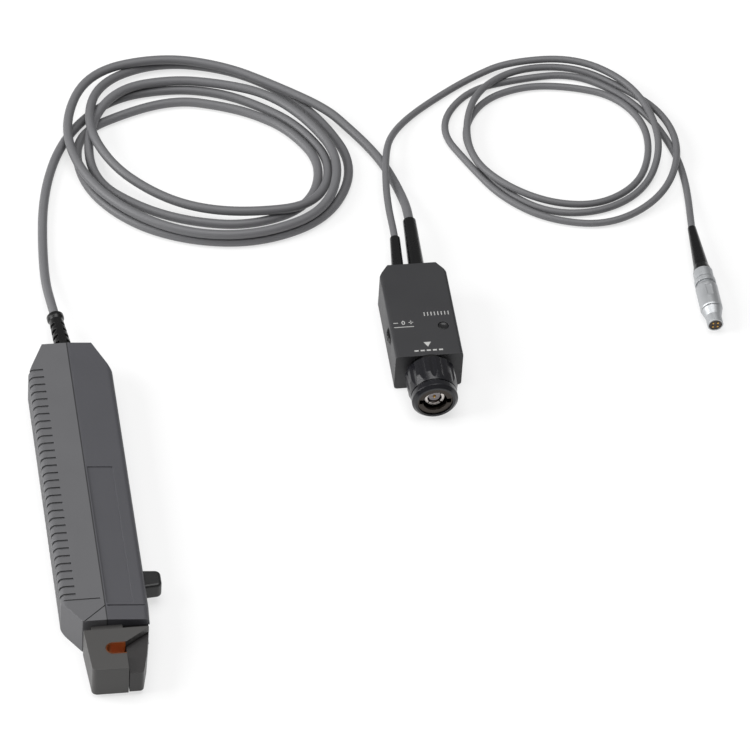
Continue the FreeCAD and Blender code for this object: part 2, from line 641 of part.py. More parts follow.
def slider():
    """Sliding half of the jaw: a tapered nose on a bar that runs inside the head."""
    left = SLIDER_LEFT
    outline = [(left, head_y(0)), (left + SLIDER_NOSE_TIP, head_y(0)),
               (left + SLIDER_NOSE_TIP + 2.2, head_y(SLIDER_NOSE_END * 0.36)),
               (left + SLIDER_NOSE_BACK, head_y(SLIDER_NOSE_END * 0.88)),
               (left + SLIDER_NOSE_BACK, head_y(SLIDER_NOSE_END)),
               (left + SLIDER_BAR_WIDTH, head_y(SLIDER_NOSE_END)),
               (left + SLIDER_BAR_WIDTH, head_y(SLIDER_BAR_END)),
               (left, head_y(SLIDER_BAR_END))]
    body = prism(outline, SLIDER_BASE, SLIDER_TOP)
    tip_x = left + SLIDER_NOSE_TIP

    def front_right_corner(middle, direction):
        return abs(middle.x - tip_x) < 0.01 and abs(direction.z) > 0.99

    body = rounded(body, JAW_CORNER_RADIUS * 0.8, front_right_corner)
    return body.cut(moving_core())


def stem_corner():
    """Depth and height of the lever stem's lower front corner."""
    depth = KNOB_START + (KNOB_LENGTH - STEM_LENGTH) / 2
    return depth, CORE_MID_HEIGHT - STEM_HEIGHT / 2


def lever_knob():
    """Thumb lever on the head's right side, with its stem through the slot."""
    x0 = HALF_WIDTH + SLIDER_GAP
    x1 = x0 + KNOB_REACH
    z0 = CORE_MID_HEIGHT - KNOB_HEIGHT / 2
    z1 = CORE_MID_HEIGHT + KNOB_HEIGHT / 2
    y0, y1 = head_y(KNOB_START), head_y(KNOB_START + KNOB_LENGTH)
    knob = prism([(x0, y0), (x1, y0 + KNOB_TAPER), (x1, y1 - KNOB_TAPER), (x0, y1)],
                 z0, z1)
    knob = rounded(knob, KNOB_CORNER_RADIUS,
                   lambda middle, direction: middle.x > x1 - 0.01 and abs(direction.z) > 0.9)
    knob = rounded(knob, KNOB_EDGE_RADIUS,
                   lambda middle, direction: middle.x > x0 + 0.01 and abs(direction.z) < 0.1)
    stem_start, stem_base = stem_corner()
    stem = block(SLIDER_LEFT + SLIDER_BAR_WIDTH, x0 + OVERSHOOT, head_y(stem_start),
                 head_y(stem_start + STEM_LENGTH), stem_base, stem_base + STEM_HEIGHT)
    ribs = []
    for i in range(KNOB_RIBS):
        y = (y0 + y1) / 2 + KNOB_RIB_PITCH * (i - (KNOB_RIBS - 1) / 2)
        ribs.append(Part.makeCylinder(KNOB_RIB_RADIUS, KNOB_HEIGHT + 2 * OVERSHOOT,
                                      Vector(x1, y, z0 - OVERSHOOT)))
    return knob.fuse(stem).removeSplitter().cut(ribs)


# ---- inside the head -------------------------------------------------------------------
def head_board():
    """Sensor circuit board with its parts, resting on the shells' posts."""
    z0, z1 = HEAD_BOARD_HEIGHT, HEAD_BOARD_HEIGHT + BOARD_THICKNESS
    y0 = head_y(HEAD_BOARD_START)
    half = HEAD_BOARD_WIDTH / 2
    board = block(-half, half, y0, y0 + HEAD_BOARD_LENGTH, z0, z1)
    parts = [block(-half * 0.6, -half * 0.1, y0 + 8, y0 + 15, z1, z1 + 1.8),
             block(half * 0.15, half * 0.7, y0 + 12, y0 + 18, z1, z1 + 1.5),
             block(-half * 0.3, half * 0.3, y0 + HEAD_BOARD_LENGTH - 16,
                   y0 + HEAD_BOARD_LENGTH - 8, z1, z1 + 3.2)]
    for i in range(5):
        y = y0 + 21 + 3.2 * i
        parts.append(block(-half * 0.5, -half * 0.28, y, y + 1.4, z1, z1 + 0.7))
    return board.fuse(parts).removeSplitter()


def ribbed_relief():
    """Flexible slotted cone with a bead, where the sensor cable leaves the head."""
    foot, end = HEAD_END_Y, HEAD_END_Y + RELIEF_LENGTH
    ring, chamfer = end - RELIEF_RING_LENGTH, RELIEF_RING_CHAMFER
    cone = turned_along_y(0, RELIEF_HEIGHT, [
        (0, foot + RELIEF_COLLAR / 2), (RELIEF_RADIUS - RELIEF_STEP, foot + RELIEF_COLLAR / 2),
        (RELIEF_TIP, ring), (RELIEF_RING_RADIUS, ring + chamfer),
        (RELIEF_RING_RADIUS, end - chamfer), (RELIEF_RING_RADIUS - chamfer, end), (0, end)])
    slots = []
    for i in range(RELIEF_SLOTS):
        y = foot + RELIEF_SLOT_START + i * RELIEF_SLOT_PITCH
        for side in (-1, 1):
            near, far = sorted((side * RELIEF_SPINE, side * (RELIEF_RADIUS + OVERSHOOT)))
            slots.append(block(near, far, y, y + RELIEF_SLOT_LENGTH,
                               RELIEF_HEIGHT - RELIEF_RADIUS - OVERSHOOT,
                               RELIEF_HEIGHT + RELIEF_RADIUS + OVERSHOOT))
    core = rod(0, foot, end, RELIEF_HEIGHT, RELIEF_CORE)
    cone = cone.cut([slot.cut(core) for slot in slots])
    cone.rotate(Vector(0, foot, RELIEF_HEIGHT), Vector(0, 0, 1), RELIEF_LEAN)
    wall_inside = foot - SHELL_WALL
    neck = rod(0, wall_inside, foot + RELIEF_COLLAR, RELIEF_HEIGHT, RELIEF_NECK)
    collar = rod(0, foot, foot + RELIEF_COLLAR, RELIEF_HEIGHT, RELIEF_RADIUS)
    flange = rod(0, wall_inside - RELIEF_FLANGE_THICKNESS, wall_inside, RELIEF_HEIGHT,
                 RELIEF_FLANGE)
    return cone.fuse([neck, collar, flange]).removeSplitter()


# ---- termination box -------------------------------------------------------------------
def box_outline(inset=0.0):
    """Plan of the termination box; its cable end has cut corners."""
    half = BOX_WIDTH / 2 - inset
    slant = inset * 0.55
    points = [(-half, inset), (half, inset), (half, BOX_LENGTH - BOX_CHAMFER_Y - slant),
              (half + inset - BOX_CHAMFER_X - slant, BOX_LENGTH - inset),
              (-half - inset + BOX_CHAMFER_X + slant, BOX_LENGTH - inset),
              (-half, BOX_LENGTH - BOX_CHAMFER_Y - slant)]
    return [(BOX_X + x, box_y(depth)) for x, depth in points]


def box_half(z0, z1, closed_z):
    """Top or bottom half of the box: walls, one closed face and rounded edges."""
    solid = prism(box_outline(), z0, z1)

    def outer_rim(middle, direction):
        long_side = abs(abs(middle.x - BOX_X) - BOX_WIDTH / 2) < 0.01
        return long_side and abs(middle.z - closed_z) < 0.01

    solid = rounded(solid, BOX_EDGE_RADIUS, outer_rim)
    if closed_z > z0:
        hollow = prism(box_outline(BOX_WALL), z0 - OVERSHOOT, z1 - BOX_WALL)
    else:
        hollow = prism(box_outline(BOX_WALL), z0 + BOX_WALL, z1 + OVERSHOOT)
    solid = solid.cut(hollow)
    holes = [rod(BOX_X, BOX_FRONT_Y - OVERSHOOT, box_y(BOX_WALL) + OVERSHOOT,
                 BNC_HEIGHT, BNC_BODY_RADIUS)]
    for offset, radius in ((SENSOR_BOOT_X, SENSOR_BOOT_BASE * BOOT_NECK_SHARE),
                           (POWER_BOOT_X, POWER_BOOT_BASE * BOOT_NECK_SHARE)):
        holes.append(rod(BOX_X + offset, BOX_END_Y - BOX_WALL - OVERSHOOT,
                         BOX_END_Y + OVERSHOOT, BOOT_HEIGHT, radius))
    return solid.cut(holes)


def box_screw_axes():
    """Centres of the two screws that close the box."""
    y = box_y(BOX_SCREW_DEPTH)
    return [(BOX_X - BOX_SCREW_X, y), (BOX_X + BOX_SCREW_X, y)]


def box_screw_shape(grow=0.0):
    """Screws from below through the board's end into the top half."""
    screws = []
    head_top = BOX_WALL * 0.75
    for x, y in box_screw_axes():
        shank = Part.makeCylinder(SCREW_RADIUS + grow, BOX_HEIGHT * 0.7,
                                  Vector(x, y, head_top))
        sink = head_top if grow == 0 else head_top + OVERSHOOT
        start = head_top - sink if grow else head_top - SCREW_HEAD_HEIGHT * 0.75
        cap = Part.makeCylinder(SCREW_HEAD_RADIUS + grow, head_top - start,
                                Vector(x, y, start))
        screws.append(shank.fuse(cap).removeSplitter())
    return screws


def bosses(z0, z1):
    """Bosses in the box that the screws pass through or bite into."""
    return [Part.makeCylinder(BOSS_RADIUS, z1 - z0, Vector(x, y, z0))
            for x, y in box_screw_axes()]


def wheel_axis():
    """Centre of the zero thumbwheel; its rim stands just proud of the left wall."""
    return BOX_X - BOX_WIDTH / 2 - WHEEL_PROUD + WHEEL_RADIUS, box_y(WHEEL_DEPTH)


def wheel_opening():
    """Slot in the left wall that the thumbwheel turns in."""
    x, y = wheel_axis()
    return Part.makeCylinder(WHEEL_RADIUS + WHEEL_GAP, WHEEL_THICKNESS + 2 * WHEEL_GAP,
                             Vector(x, y, WHEEL_HEIGHT - WHEEL_GAP))


def box_top_shell():
    """Upper half of the box, with the button's hole and half of the wheel's slot."""
    solid = box_half(BOX_MID_HEIGHT, BOX_HEIGHT, BOX_HEIGHT)
    solid = solid.fuse(bosses(BOX_MID_HEIGHT, BOX_HEIGHT - BOX_WALL / 2))
    x, y = BOX_X + BUTTON_X, box_y(BUTTON_DEPTH)
    hole = Part.makeCylinder(BUTTON_RADIUS + BUTTON_GAP, BOX_WALL + 2 * OVERSHOOT,
                             Vector(x, y, BOX_HEIGHT - BOX_WALL - OVERSHOOT))
    return solid.removeSplitter().cut([hole, wheel_opening()] +
                                      box_screw_shape(WHEEL_RUNNING_GAP))


def box_bottom_shell():
    """Lower half of the box, with screw bosses that carry the board's back end."""
    solid = box_half(0, BOX_MID_HEIGHT, 0)
    solid = solid.fuse(bosses(BOX_WALL / 2, BOX_BOARD_HEIGHT))
    posts = [block(x - POST_WIDTH / 2, x + POST_WIDTH / 2, box_y(BOX_BOARD_START),
                   box_y(BOX_BOARD_START) + POST_WIDTH, BOX_WALL / 2, BOX_BOARD_HEIGHT)
             for x in (BOX_X - BOX_BOARD_WIDTH / 2 + POST_WIDTH / 2,
                       BOX_X + BOX_BOARD_WIDTH / 2 - POST_WIDTH / 2)]
    return solid.fuse(posts).removeSplitter().cut(box_screw_shape(WHEEL_RUNNING_GAP))


def box_board():
    """Amplifier and filter board of the termination box, with its larger parts."""
    half = BOX_BOARD_WIDTH / 2
    y0 = box_y(BOX_BOARD_START)
    z1 = BOX_BOARD_TOP
    board = block(BOX_X - half, BOX_X + half, y0, y0 + BOX_BOARD_LENGTH,
                  BOX_BOARD_HEIGHT, z1)
    parts = [block(BOX_X - 3, BOX_X + 3, y0 + 22, y0 + 27, z1, z1 + 1.6),
             block(BOX_X - 2, BOX_X + 4, y0 + 30, y0 + 35, z1, z1 + 3.4)]
    for i in range(4):
        parts.append(block(BOX_X + 5.5, BOX_X + 7.1, y0 + 16 + 2.4 * i,
                           y0 + 17.2 + 2.4 * i, z1, z1 + 0.7))
    return board.fuse(parts).removeSplitter().cut(box_screw_shape(WHEEL_RUNNING_GAP))


def demag_button():
    """Round recessed push button with a flange that keeps it under the top face."""
    x, y = BOX_X + BUTTON_X, box_y(BUTTON_DEPTH)
    top = BOX_HEIGHT - BUTTON_SINK
    foot = BOX_BOARD_TOP + SWITCH_HEIGHT + BUTTON_TRAVEL + 0.1
    stem = Part.makeCylinder(BUTTON_RADIUS, top - foot, Vector(x, y, foot))
    flange_top = BOX_HEIGHT - BOX_WALL - 0.05
    flange = Part.makeCylinder(BUTTON_RADIUS + BUTTON_FLANGE, 1.0,
                               Vector(x, y, flange_top - 1.0))
    return stem.fuse(flange).removeSplitter()


def demag_switch():
    """Tactile switch under the button."""
    x, y = BOX_X + BUTTON_X, box_y(BUTTON_DEPTH)
    half = SWITCH_SIZE / 2
    right = min(x + half, BOX_X + BOX_WIDTH / 2 - BOX_WALL - 0.2)
    return block(x - half, right, y - half, y + half, BOX_BOARD_TOP,
                 BOX_BOARD_TOP + SWITCH_HEIGHT)


def zero_wheel():
    """Toothed thumbwheel with its shaft, for the zero adjustment."""
    x, y = wheel_axis()
    disc = Part.makeCylinder(WHEEL_RADIUS, WHEEL_THICKNESS, Vector(x, y, WHEEL_HEIGHT))
    teeth = []
    for i in range(WHEEL_TEETH):
        notch_points = [(x + WHEEL_RADIUS - WHEEL_NOTCH, y),
                        (x + WHEEL_RADIUS + WHEEL_NOTCH, y - WHEEL_NOTCH * 2),
                        (x + WHEEL_RADIUS + WHEEL_NOTCH, y + WHEEL_NOTCH * 2)]
        tooth = prism(notch_points, WHEEL_HEIGHT - OVERSHOOT,
                      WHEEL_HEIGHT + WHEEL_THICKNESS + OVERSHOOT)
        tooth.rotate(Vector(x, y, 0), Vector(0, 0, 1), 360.0 * i / WHEEL_TEETH)
        teeth.append(tooth)
    shaft = Part.makeCylinder(WHEEL_SHAFT_RADIUS, WHEEL_HEIGHT - BOX_BOARD_TOP - 0.6,
                              Vector(x, y, BOX_BOARD_TOP + 0.6))
    return disc.cut(teeth).fuse(shaft).removeSplitter()


def zero_potentiometer():
    """Trimmer on the board that the thumbwheel's shaft turns in."""
    x, y = wheel_axis()
    half = POT_SIZE / 2
    wall = BOX_X - BOX_WIDTH / 2 + BOX_WALL
    body = block(max(x - half, wall), x + half, y - half, y + half, BOX_BOARD_TOP,
                 WHEEL_HEIGHT - WHEEL_GAP)
    socket = Part.makeCylinder(WHEEL_SHAFT_RADIUS + WHEEL_RUNNING_GAP, WHEEL_HEIGHT,
                               Vector(x, y, BOX_BOARD_TOP + 0.4))
    return body.cut(socket)


def tapered(start, end, base, tip, flare_share, flare_radius):
    """Cable boot: a short flared foot that runs into a long slender cone."""
    along = end.sub(start)
    knee = start.add(along * flare_share)
    foot = Part.makeCone(base, flare_radius, along.Length * flare_share, start, along)
    shaft = Part.makeCone(flare_radius, tip, along.Length * (1 - flare_share), knee,
                          along)
    return foot.fuse(shaft)


def box_boot(offset, length, base, tip, lean):
    """Cable boot in the box's back wall, with its neck and inner retaining flange."""
    x, y0 = BOX_X + offset, BOX_END_Y
    neck = rod(x, y0 - BOX_WALL, y0 + BOOT_COLLAR, BOOT_HEIGHT, base * BOOT_NECK_SHARE)
    collar = rod(x, y0, y0 + BOOT_COLLAR, BOOT_HEIGHT, base)
    flange = rod(x, y0 - BOX_WALL - BOOT_FLANGE_THICKNESS, y0 - BOX_WALL,
                 BOOT_HEIGHT, base)
    taper = tapered(Vector(x, y0 + BOOT_COLLAR / 2, BOOT_HEIGHT),
                    Vector(x + lean, y0 + length, BOOT_HEIGHT - BOOT_DROOP),
                    base - BOOT_STEP, tip, BOOT_FLARE_SHARE, (base + tip) / 2)
    return taper.fuse([neck, collar, flange]).removeSplitter()


# ---- BNC plug --------------------------------------------------------------------------
def bnc_body():
    """Barrel, slotted outer contact and retaining collar of the plug."""
    front = BNC_FRONT_Y + BNC_CONTACT_RECESS
    step = front + BNC_CONTACT_LENGTH
    collar = BOX_FRONT_Y - BNC_COLLAR_LENGTH
    back = box_y(BOX_WALL + BNC_NUT_THICKNESS)
    body = turned_along_y(BOX_X, BNC_HEIGHT, [
        (BNC_CONTACT_BORE, front), (BNC_CONTACT_RADIUS, front),
        (BNC_CONTACT_RADIUS, step), (BNC_BODY_RADIUS, step), (BNC_BODY_RADIUS, collar),
        (BNC_COLLAR_RADIUS, collar), (BNC_COLLAR_RADIUS, BOX_FRONT_Y),
        (BNC_BODY_RADIUS, BOX_FRONT_Y), (BNC_BODY_RADIUS, back),
        (BNC_DIELECTRIC_RADIUS, back), (BNC_DIELECTRIC_RADIUS, step + BNC_CONTACT_ROOT),
        (BNC_CONTACT_BORE, step + BNC_CONTACT_ROOT)])
    slots = []
    for i in range(BNC_SPRINGS):
        slot = block(BOX_X - BNC_SPRING_SLOT / 2, BOX_X + BNC_SPRING_SLOT / 2,
                     front - OVERSHOOT, front + BNC_SPRING_LENGTH,
                     BNC_HEIGHT, BNC_HEIGHT + BNC_BODY_RADIUS)
        slot.rotate(Vector(BOX_X, 0, BNC_HEIGHT), Vector(0, 1, 0), 360 / BNC_SPRINGS * (i + 0.5))
        slots.append(slot)
    return body.cut(slots)


def bnc_nut():
    """Flat-sided nut that holds the plug's barrel to the box's front wall."""
    y0 = box_y(BOX_WALL)
    points = []
    for i in range(BNC_NUT_SIDES + 1):
        angle = 2 * math.pi / BNC_NUT_SIDES * i
        points.append(Vector(BOX_X + BNC_NUT_RADIUS * math.cos(angle), y0,
                             BNC_HEIGHT + BNC_NUT_RADIUS * math.sin(angle)))
    nut = Part.Face(Part.makePolygon(points)).extrude(Vector(0, BNC_NUT_THICKNESS, 0))
    return nut.cut(rod(BOX_X, y0 - OVERSHOOT, y0 + BNC_NUT_THICKNESS + OVERSHOOT,
                       BNC_HEIGHT, BNC_BODY_RADIUS))


def bnc_dielectric():
    """White insulator round the centre pin."""
    front = BNC_FRONT_Y + BNC_DIELECTRIC_RECESS
    back = box_y(BOX_WALL + BNC_NUT_THICKNESS)
    return tube_along_y(BOX_X, front, back, BNC_HEIGHT, BNC_DIELECTRIC_RADIUS,
                        BNC_PIN_RADIUS)


def bnc_pin():
    """Centre contact, round-ended, soldered to the board behind the wall."""
    front = BNC_FRONT_Y + BNC_PIN_TIP
    back = box_y(BOX_BOARD_START) + BNC_PIN_OVERLAP
    pin = turned_along_y(BOX_X, BNC_HEIGHT, [
        (0, front), (BNC_PIN_RADIUS / 2, front), (BNC_PIN_RADIUS, front + BNC_PIN_POINT),
        (BNC_PIN_RADIUS, back), (0, back)])
    leg = block(BOX_X - BNC_LEG_WIDTH / 2, BOX_X + BNC_LEG_WIDTH / 2, back - BNC_LEG_DEPTH,
                back, BOX_BOARD_TOP, BNC_HEIGHT)
    return pin.fuse(leg).removeSplitter()


def bnc_bayonet():
    """Metal bayonet ring that turns on the barrel, with its two ramp slots."""
    front = BNC_FRONT_Y + BNC_RING_SETBACK
    back = BNC_GRIP_BACK_Y
    lip_start = BNC_FRONT_Y + BNC_CONTACT_RECESS + BNC_CONTACT_LENGTH
    lip_start += BNC_LIP_GAP
    ring = turned_along_y(BOX_X, BNC_HEIGHT, [
        (BNC_RING_BORE, front), (BNC_GRIP_BORE, front), (BNC_GRIP_BORE, back),
        (BNC_BODY_RADIUS + BNC_RUNNING_GAP, back),
        (BNC_BODY_RADIUS + BNC_RUNNING_GAP, lip_start), (BNC_RING_BORE, lip_start)])
    half = BNC_SLOT_WIDTH / 2
    slots = []
    for side in (-1, 1):
        entry = block(BOX_X - half, BOX_X + half, front - OVERSHOOT,
                      front + BNC_SLOT_LENGTH, BNC_HEIGHT,
                      BNC_HEIGHT + BNC_GRIP_BORE - BNC_SLOT_FLOOR)
        entry.rotate(Vector(BOX_X, 0, BNC_HEIGHT), Vector(0, 1, 0), 90 * side)
        slots.append(entry)
    return ring.cut(slots)


def bnc_grip():
    """Fluted plastic grip moulded on the bayonet ring."""
    front, back = BNC_FRONT_Y, BNC_GRIP_BACK_Y
    groove = front + BNC_GRIP_GROOVE
    body = turned_along_y(BOX_X, BNC_HEIGHT, [
        (BNC_GRIP_BORE, front + BNC_RING_SETBACK), (BNC_GRIP_BORE, front),
        (BNC_GRIP_FRONT_RADIUS - BNC_GRIP_NOSE, front),
        (BNC_GRIP_FRONT_RADIUS, front + BNC_GRIP_NOSE),
        (BNC_GRIP_FRONT_RADIUS, groove),
        (BNC_GRIP_FRONT_RADIUS - BNC_GROOVE_DEPTH, groove),
        (BNC_GRIP_FRONT_RADIUS - BNC_GROOVE_DEPTH, groove + BNC_GROOVE_WIDTH),
        (BNC_GRIP_FRONT_RADIUS, groove + BNC_GROOVE_WIDTH),
        (BNC_GRIP_RADIUS, (front + back) / 2), (BNC_GRIP_RADIUS, back - BNC_GRIP_BEVEL),
        (BNC_GRIP_RADIUS - BNC_GRIP_BEVEL, back), (BNC_GRIP_BORE, back)])
    reach = BNC_GRIP_RADIUS - BNC_FLUTE_DEPTH + BNC_FLUTE_RADIUS
    flutes = []
    for i in range(BNC_GRIP_FLUTES):
        angle = 2 * math.pi * (i + 0.5) / BNC_GRIP_FLUTES
        x = BOX_X + reach * math.cos(angle)
        z = BNC_HEIGHT + reach * math.sin(angle)
        flutes.append(rod(x, groove + BNC_GROOVE_WIDTH, back + OVERSHOOT, z,
                          BNC_FLUTE_RADIUS))
    return body.cut(flutes)


# ---- power plug ------------------------------------------------------------------------
def plug_body():
    """Core of the power plug: nose, cone and the waist that the sleeve slides on."""
    tip = PLUG_TIP_Y
    waist = PLUG_RADIUS - PLUG_SLEEVE_WALL - PLUG_RUNNING_GAP
    return turned_along_y(PLUG_X, PLUG_HEIGHT, [
        (PLUG_INSERT_RADIUS, tip), (PLUG_NOSE_RADIUS - 0.2, tip),
        (PLUG_NOSE_RADIUS, tip + 0.2), (PLUG_NOSE_RADIUS, tip + PLUG_NOSE_LENGTH),
        (PLUG_CONE_RADIUS, PLUG_SLEEVE_START - PLUG_END_GAP),
        (waist, PLUG_SLEEVE_START - PLUG_END_GAP), (waist, PLUG_BACK_START),
        (PLUG_INSERT_RADIUS, PLUG_BACK_START)])


def plug_back_nut():
    """Clamp nut behind the sleeve, with a ring groove and two wrench flats."""
    start = PLUG_BACK_START
    radius = PLUG_BACK_RADIUS
    groove = start + PLUG_BACK_LENGTH * 0.3
    nut = turned_along_y(PLUG_X, PLUG_HEIGHT, [
        (0, start), (radius + PLUG_RING_DEPTH, start),
        (radius + PLUG_RING_DEPTH, groove),
        (radius - PLUG_RING_DEPTH, groove),
        (radius - PLUG_RING_DEPTH, groove + PLUG_RING_WIDTH),
        (radius, groove + PLUG_RING_WIDTH), (radius, PLUG_METAL_END),
        (0, PLUG_METAL_END)])
    flats = []
    for side in (-1, 1):
        flat = block(PLUG_X - radius, PLUG_X + radius, groove + PLUG_RING_WIDTH,
                     PLUG_METAL_END + OVERSHOOT, PLUG_HEIGHT + radius - PLUG_RING_DEPTH,
                     PLUG_HEIGHT + radius + OVERSHOOT)
        flat.rotate(Vector(PLUG_X, 0, PLUG_HEIGHT), Vector(0, 1, 0), 90 * side)
        flats.append(flat)
    return nut.cut(flats)


def plug_sleeve():
    """Outer release sleeve that is pulled back to unlatch the plug."""
    start = PLUG_SLEEVE_START
    end = start + PLUG_SLEEVE_LENGTH
    bore = PLUG_RADIUS - PLUG_SLEEVE_WALL
    sleeve = turned_along_y(PLUG_X, PLUG_HEIGHT, [
        (bore, start), (PLUG_RADIUS - PLUG_RING_DEPTH, start),
        (PLUG_RADIUS, start + PLUG_RING_WIDTH), (PLUG_RADIUS, end - PLUG_RING_WIDTH),
        (PLUG_RADIUS - PLUG_RING_DEPTH, end), (bore, end)])
    windows = []
    half = PLUG_WINDOW_WIDTH / 2
    top = PLUG_HEIGHT + PLUG_RADIUS
    middle = start + PLUG_SLEEVE_LENGTH * 0.62
    for i in range(PLUG_WINDOWS):
        window = block(PLUG_X - half, PLUG_X + half, middle - PLUG_WINDOW_LENGTH / 2,
                       middle + PLUG_WINDOW_LENGTH / 2, top - PLUG_WINDOW_DEPTH,
                       top + OVERSHOOT)
        window.rotate(Vector(PLUG_X, 0, PLUG_HEIGHT), Vector(0, 1, 0),
                      360.0 / PLUG_WINDOWS * i)
        windows.append(window)
    return sleeve.cut(windows)


def plug_insert():
    """Insulator that carries the contacts, just inside the metal nose."""
    body = rod(PLUG_X, PLUG_TIP_Y + PLUG_INSERT_RECESS, PLUG_BACK_START, PLUG_HEIGHT,
               PLUG_INSERT_RADIUS)
    return body.cut(pin_rods())


def pin_rods():
    """The plug's contacts, on a circle, ending level with the metal nose."""
    pins = []
    for i in range(PLUG_PINS):
        angle = 2 * math.pi * (i + 0.5) / PLUG_PINS
        x = PLUG_X + PLUG_PIN_CIRCLE * math.cos(angle)
        z = PLUG_HEIGHT + PLUG_PIN_CIRCLE * math.sin(angle)
        pins.append(rod(x, PLUG_TIP_Y, PLUG_BACK_START - 2.0, z, PLUG_PIN_RADIUS))
    return pins


def plug_boot():
    """Tapered boot behind the plug's clamp nut."""
    return tapered(Vector(PLUG_X, PLUG_METAL_END, PLUG_HEIGHT),
                   Vector(PLUG_X, PLUG_METAL_END + PLUG_BOOT_LENGTH, PLUG_HEIGHT),
                   PLUG_BOOT_BASE, PLUG_BOOT_TIP, PLUG_BOOT_FLARE,
                   PLUG_BOOT_KNEE).removeSplitter()


# ---- cables ----------------------------------------------------------------------------
def cable(name, points, radius):
    """Round cable along straight runs joined by tangent arcs; prints the arc radii."""
    spots = [Vector(*p) for p in points]
    pieces, radii = [], []
    start, length = spots[0], 0.0
    for before, corner, after in zip(spots, spots[1:], spots[2:]):
        back, ahead = before.sub(corner), after.sub(corner)
        turn = math.pi - back.getAngle(ahead)
        reach = 0.45 * min(back.Length, ahead.Length)
        radii.append(reach / math.tan(turn / 2))
        back.normalize()
        ahead.normalize()
        enter = corner.add(back * reach)
        centre = corner.add((back + ahead).normalize() * (reach / math.sin(turn / 2)))
        pieces.append(Part.makeCylinder(radius, start.distanceToPoint(enter), start,
                                        enter.sub(start)))
        length += start.distanceToPoint(enter) + radii[-1] * turn
        section = Part.Face(Part.Wire(Part.makeCircle(radius, enter, back)))
        pieces.append(section.revolve(centre, ahead.cross(back), math.degrees(turn)))
        start = corner.add(ahead * reach)
    pieces.append(Part.makeCylinder(radius, start.distanceToPoint(spots[-1]), start,
                                    spots[-1].sub(start)))
    length += start.distanceToPoint(spots[-1])
    solid = pieces[0].fuse(pieces[1:]).removeSplitter()
    share = solid.Volume / (math.pi * radius * radius * length)
    print(name, "length %.1f" % length, "volume share %.4f" % share,
          "radii", " ".join("%.0f" % r for r in radii))
    return solid


def oval(spec, z):
    """Closed oval wire on a turned ellipse."""
    (x, y), half_length, half_width = spec
    centre = Vector(x, y, z)
    turn = math.radians(COIL_TURN_ANGLE)
    along = Vector(math.cos(turn), math.sin(turn), 0)
    across = Vector(-math.sin(turn), math.cos(turn), 0)
    curve = Part.Ellipse(centre + along * half_length, centre + across * half_width,
                         centre)
    return Part.Wire(curve.toShape())


def coil(outer, inner, height):
    """Outer shape of a loose flat coil of cable: a flat oval ring."""
    ring = Part.Face(oval(outer, 0)).extrude(Vector(0, 0, height))
    return ring.cut(Part.Face(oval(inner, -OVERSHOOT)).extrude(
        Vector(0, 0, height + 2 * OVERSHOOT)))


def main():
    os.makedirs("parts", exist_ok=True)
    save("left_shell", left_shell())
    save("right_shell", right_shell())
    save("head_screws", Part.makeCompound(screw_shape()))
    save("jaw_block", jaw_block())
    save("aperture_liner", aperture_liner())
    save("fixed_core", fixed_core())
    save("sensor_chip", sensor_chip_body(0, 0))
    save("pickup_winding", winding())
    save("slider", slider())
    save("moving_core", moving_core())
    save("lever_knob", lever_knob())
    save("head_board", head_board())
    save("strain_relief", ribbed_relief())
    save("box_top_shell", box_top_shell())
    save("box_bottom_shell", box_bottom_shell())
    save("box_screws", Part.makeCompound(box_screw_shape()))
    save("box_board", box_board())
    save("demag_button", demag_button())
    save("demag_switch", demag_switch())
    save("zero_wheel", zero_wheel())
    save("zero_potentiometer", zero_potentiometer())
    save("sensor_boot", box_boot(SENSOR_BOOT_X, SENSOR_BOOT_LENGTH, SENSOR_BOOT_BASE,
                                 SENSOR_BOOT_TIP, SENSOR_BOOT_LEAN))
    save("power_boot", box_boot(POWER_BOOT_X, POWER_BOOT_LENGTH, POWER_BOOT_BASE,
                                POWER_BOOT_TIP, POWER_BOOT_LEAN))
    save("bnc_body", bnc_body())
    save("bnc_nut", bnc_nut())
    save("bnc_dielectric", bnc_dielectric())
    save("bnc_pin", bnc_pin())
    save("bnc_bayonet", bnc_bayonet())
    save("bnc_grip", bnc_grip())
    save("plug_body", plug_body())
    save("plug_back_nut", plug_back_nut())
    save("plug_sleeve", plug_sleeve())
    save("plug_insert", plug_insert())
    save("plug_pins", Part.makeCompound(pin_rods()))
    save("plug_boot", plug_boot())
    save("sensor_lead", cable("sensor_lead", SENSOR_LEAD, SENSOR_CABLE_RADIUS))
    save("sensor_tail", cable("sensor_tail", SENSOR_TAIL, SENSOR_CABLE_RADIUS))
    save("power_lead", cable("power_lead", POWER_LEAD, POWER_CABLE_RADIUS))
    save("power_tail", cable("power_tail", POWER_TAIL, POWER_CABLE_RADIUS))
    save("sensor_coil", coil(SENSOR_COIL_OUTER, SENSOR_COIL_INNER, SENSOR_COIL_HEIGHT))
    save("power_coil", coil(POWER_COIL_OUTER, POWER_COIL_INNER, POWER_COIL_HEIGHT))


main()
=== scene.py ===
"""Dresses the clamp-on current probe: a flat head with a sliding jaw, a box with a
bayonet plug, and a thin cable with a round plug."""

import json
from math import cos, pi, radians, sin, sqrt

import bmesh
import bpy
from mathutils import Matrix, Vector


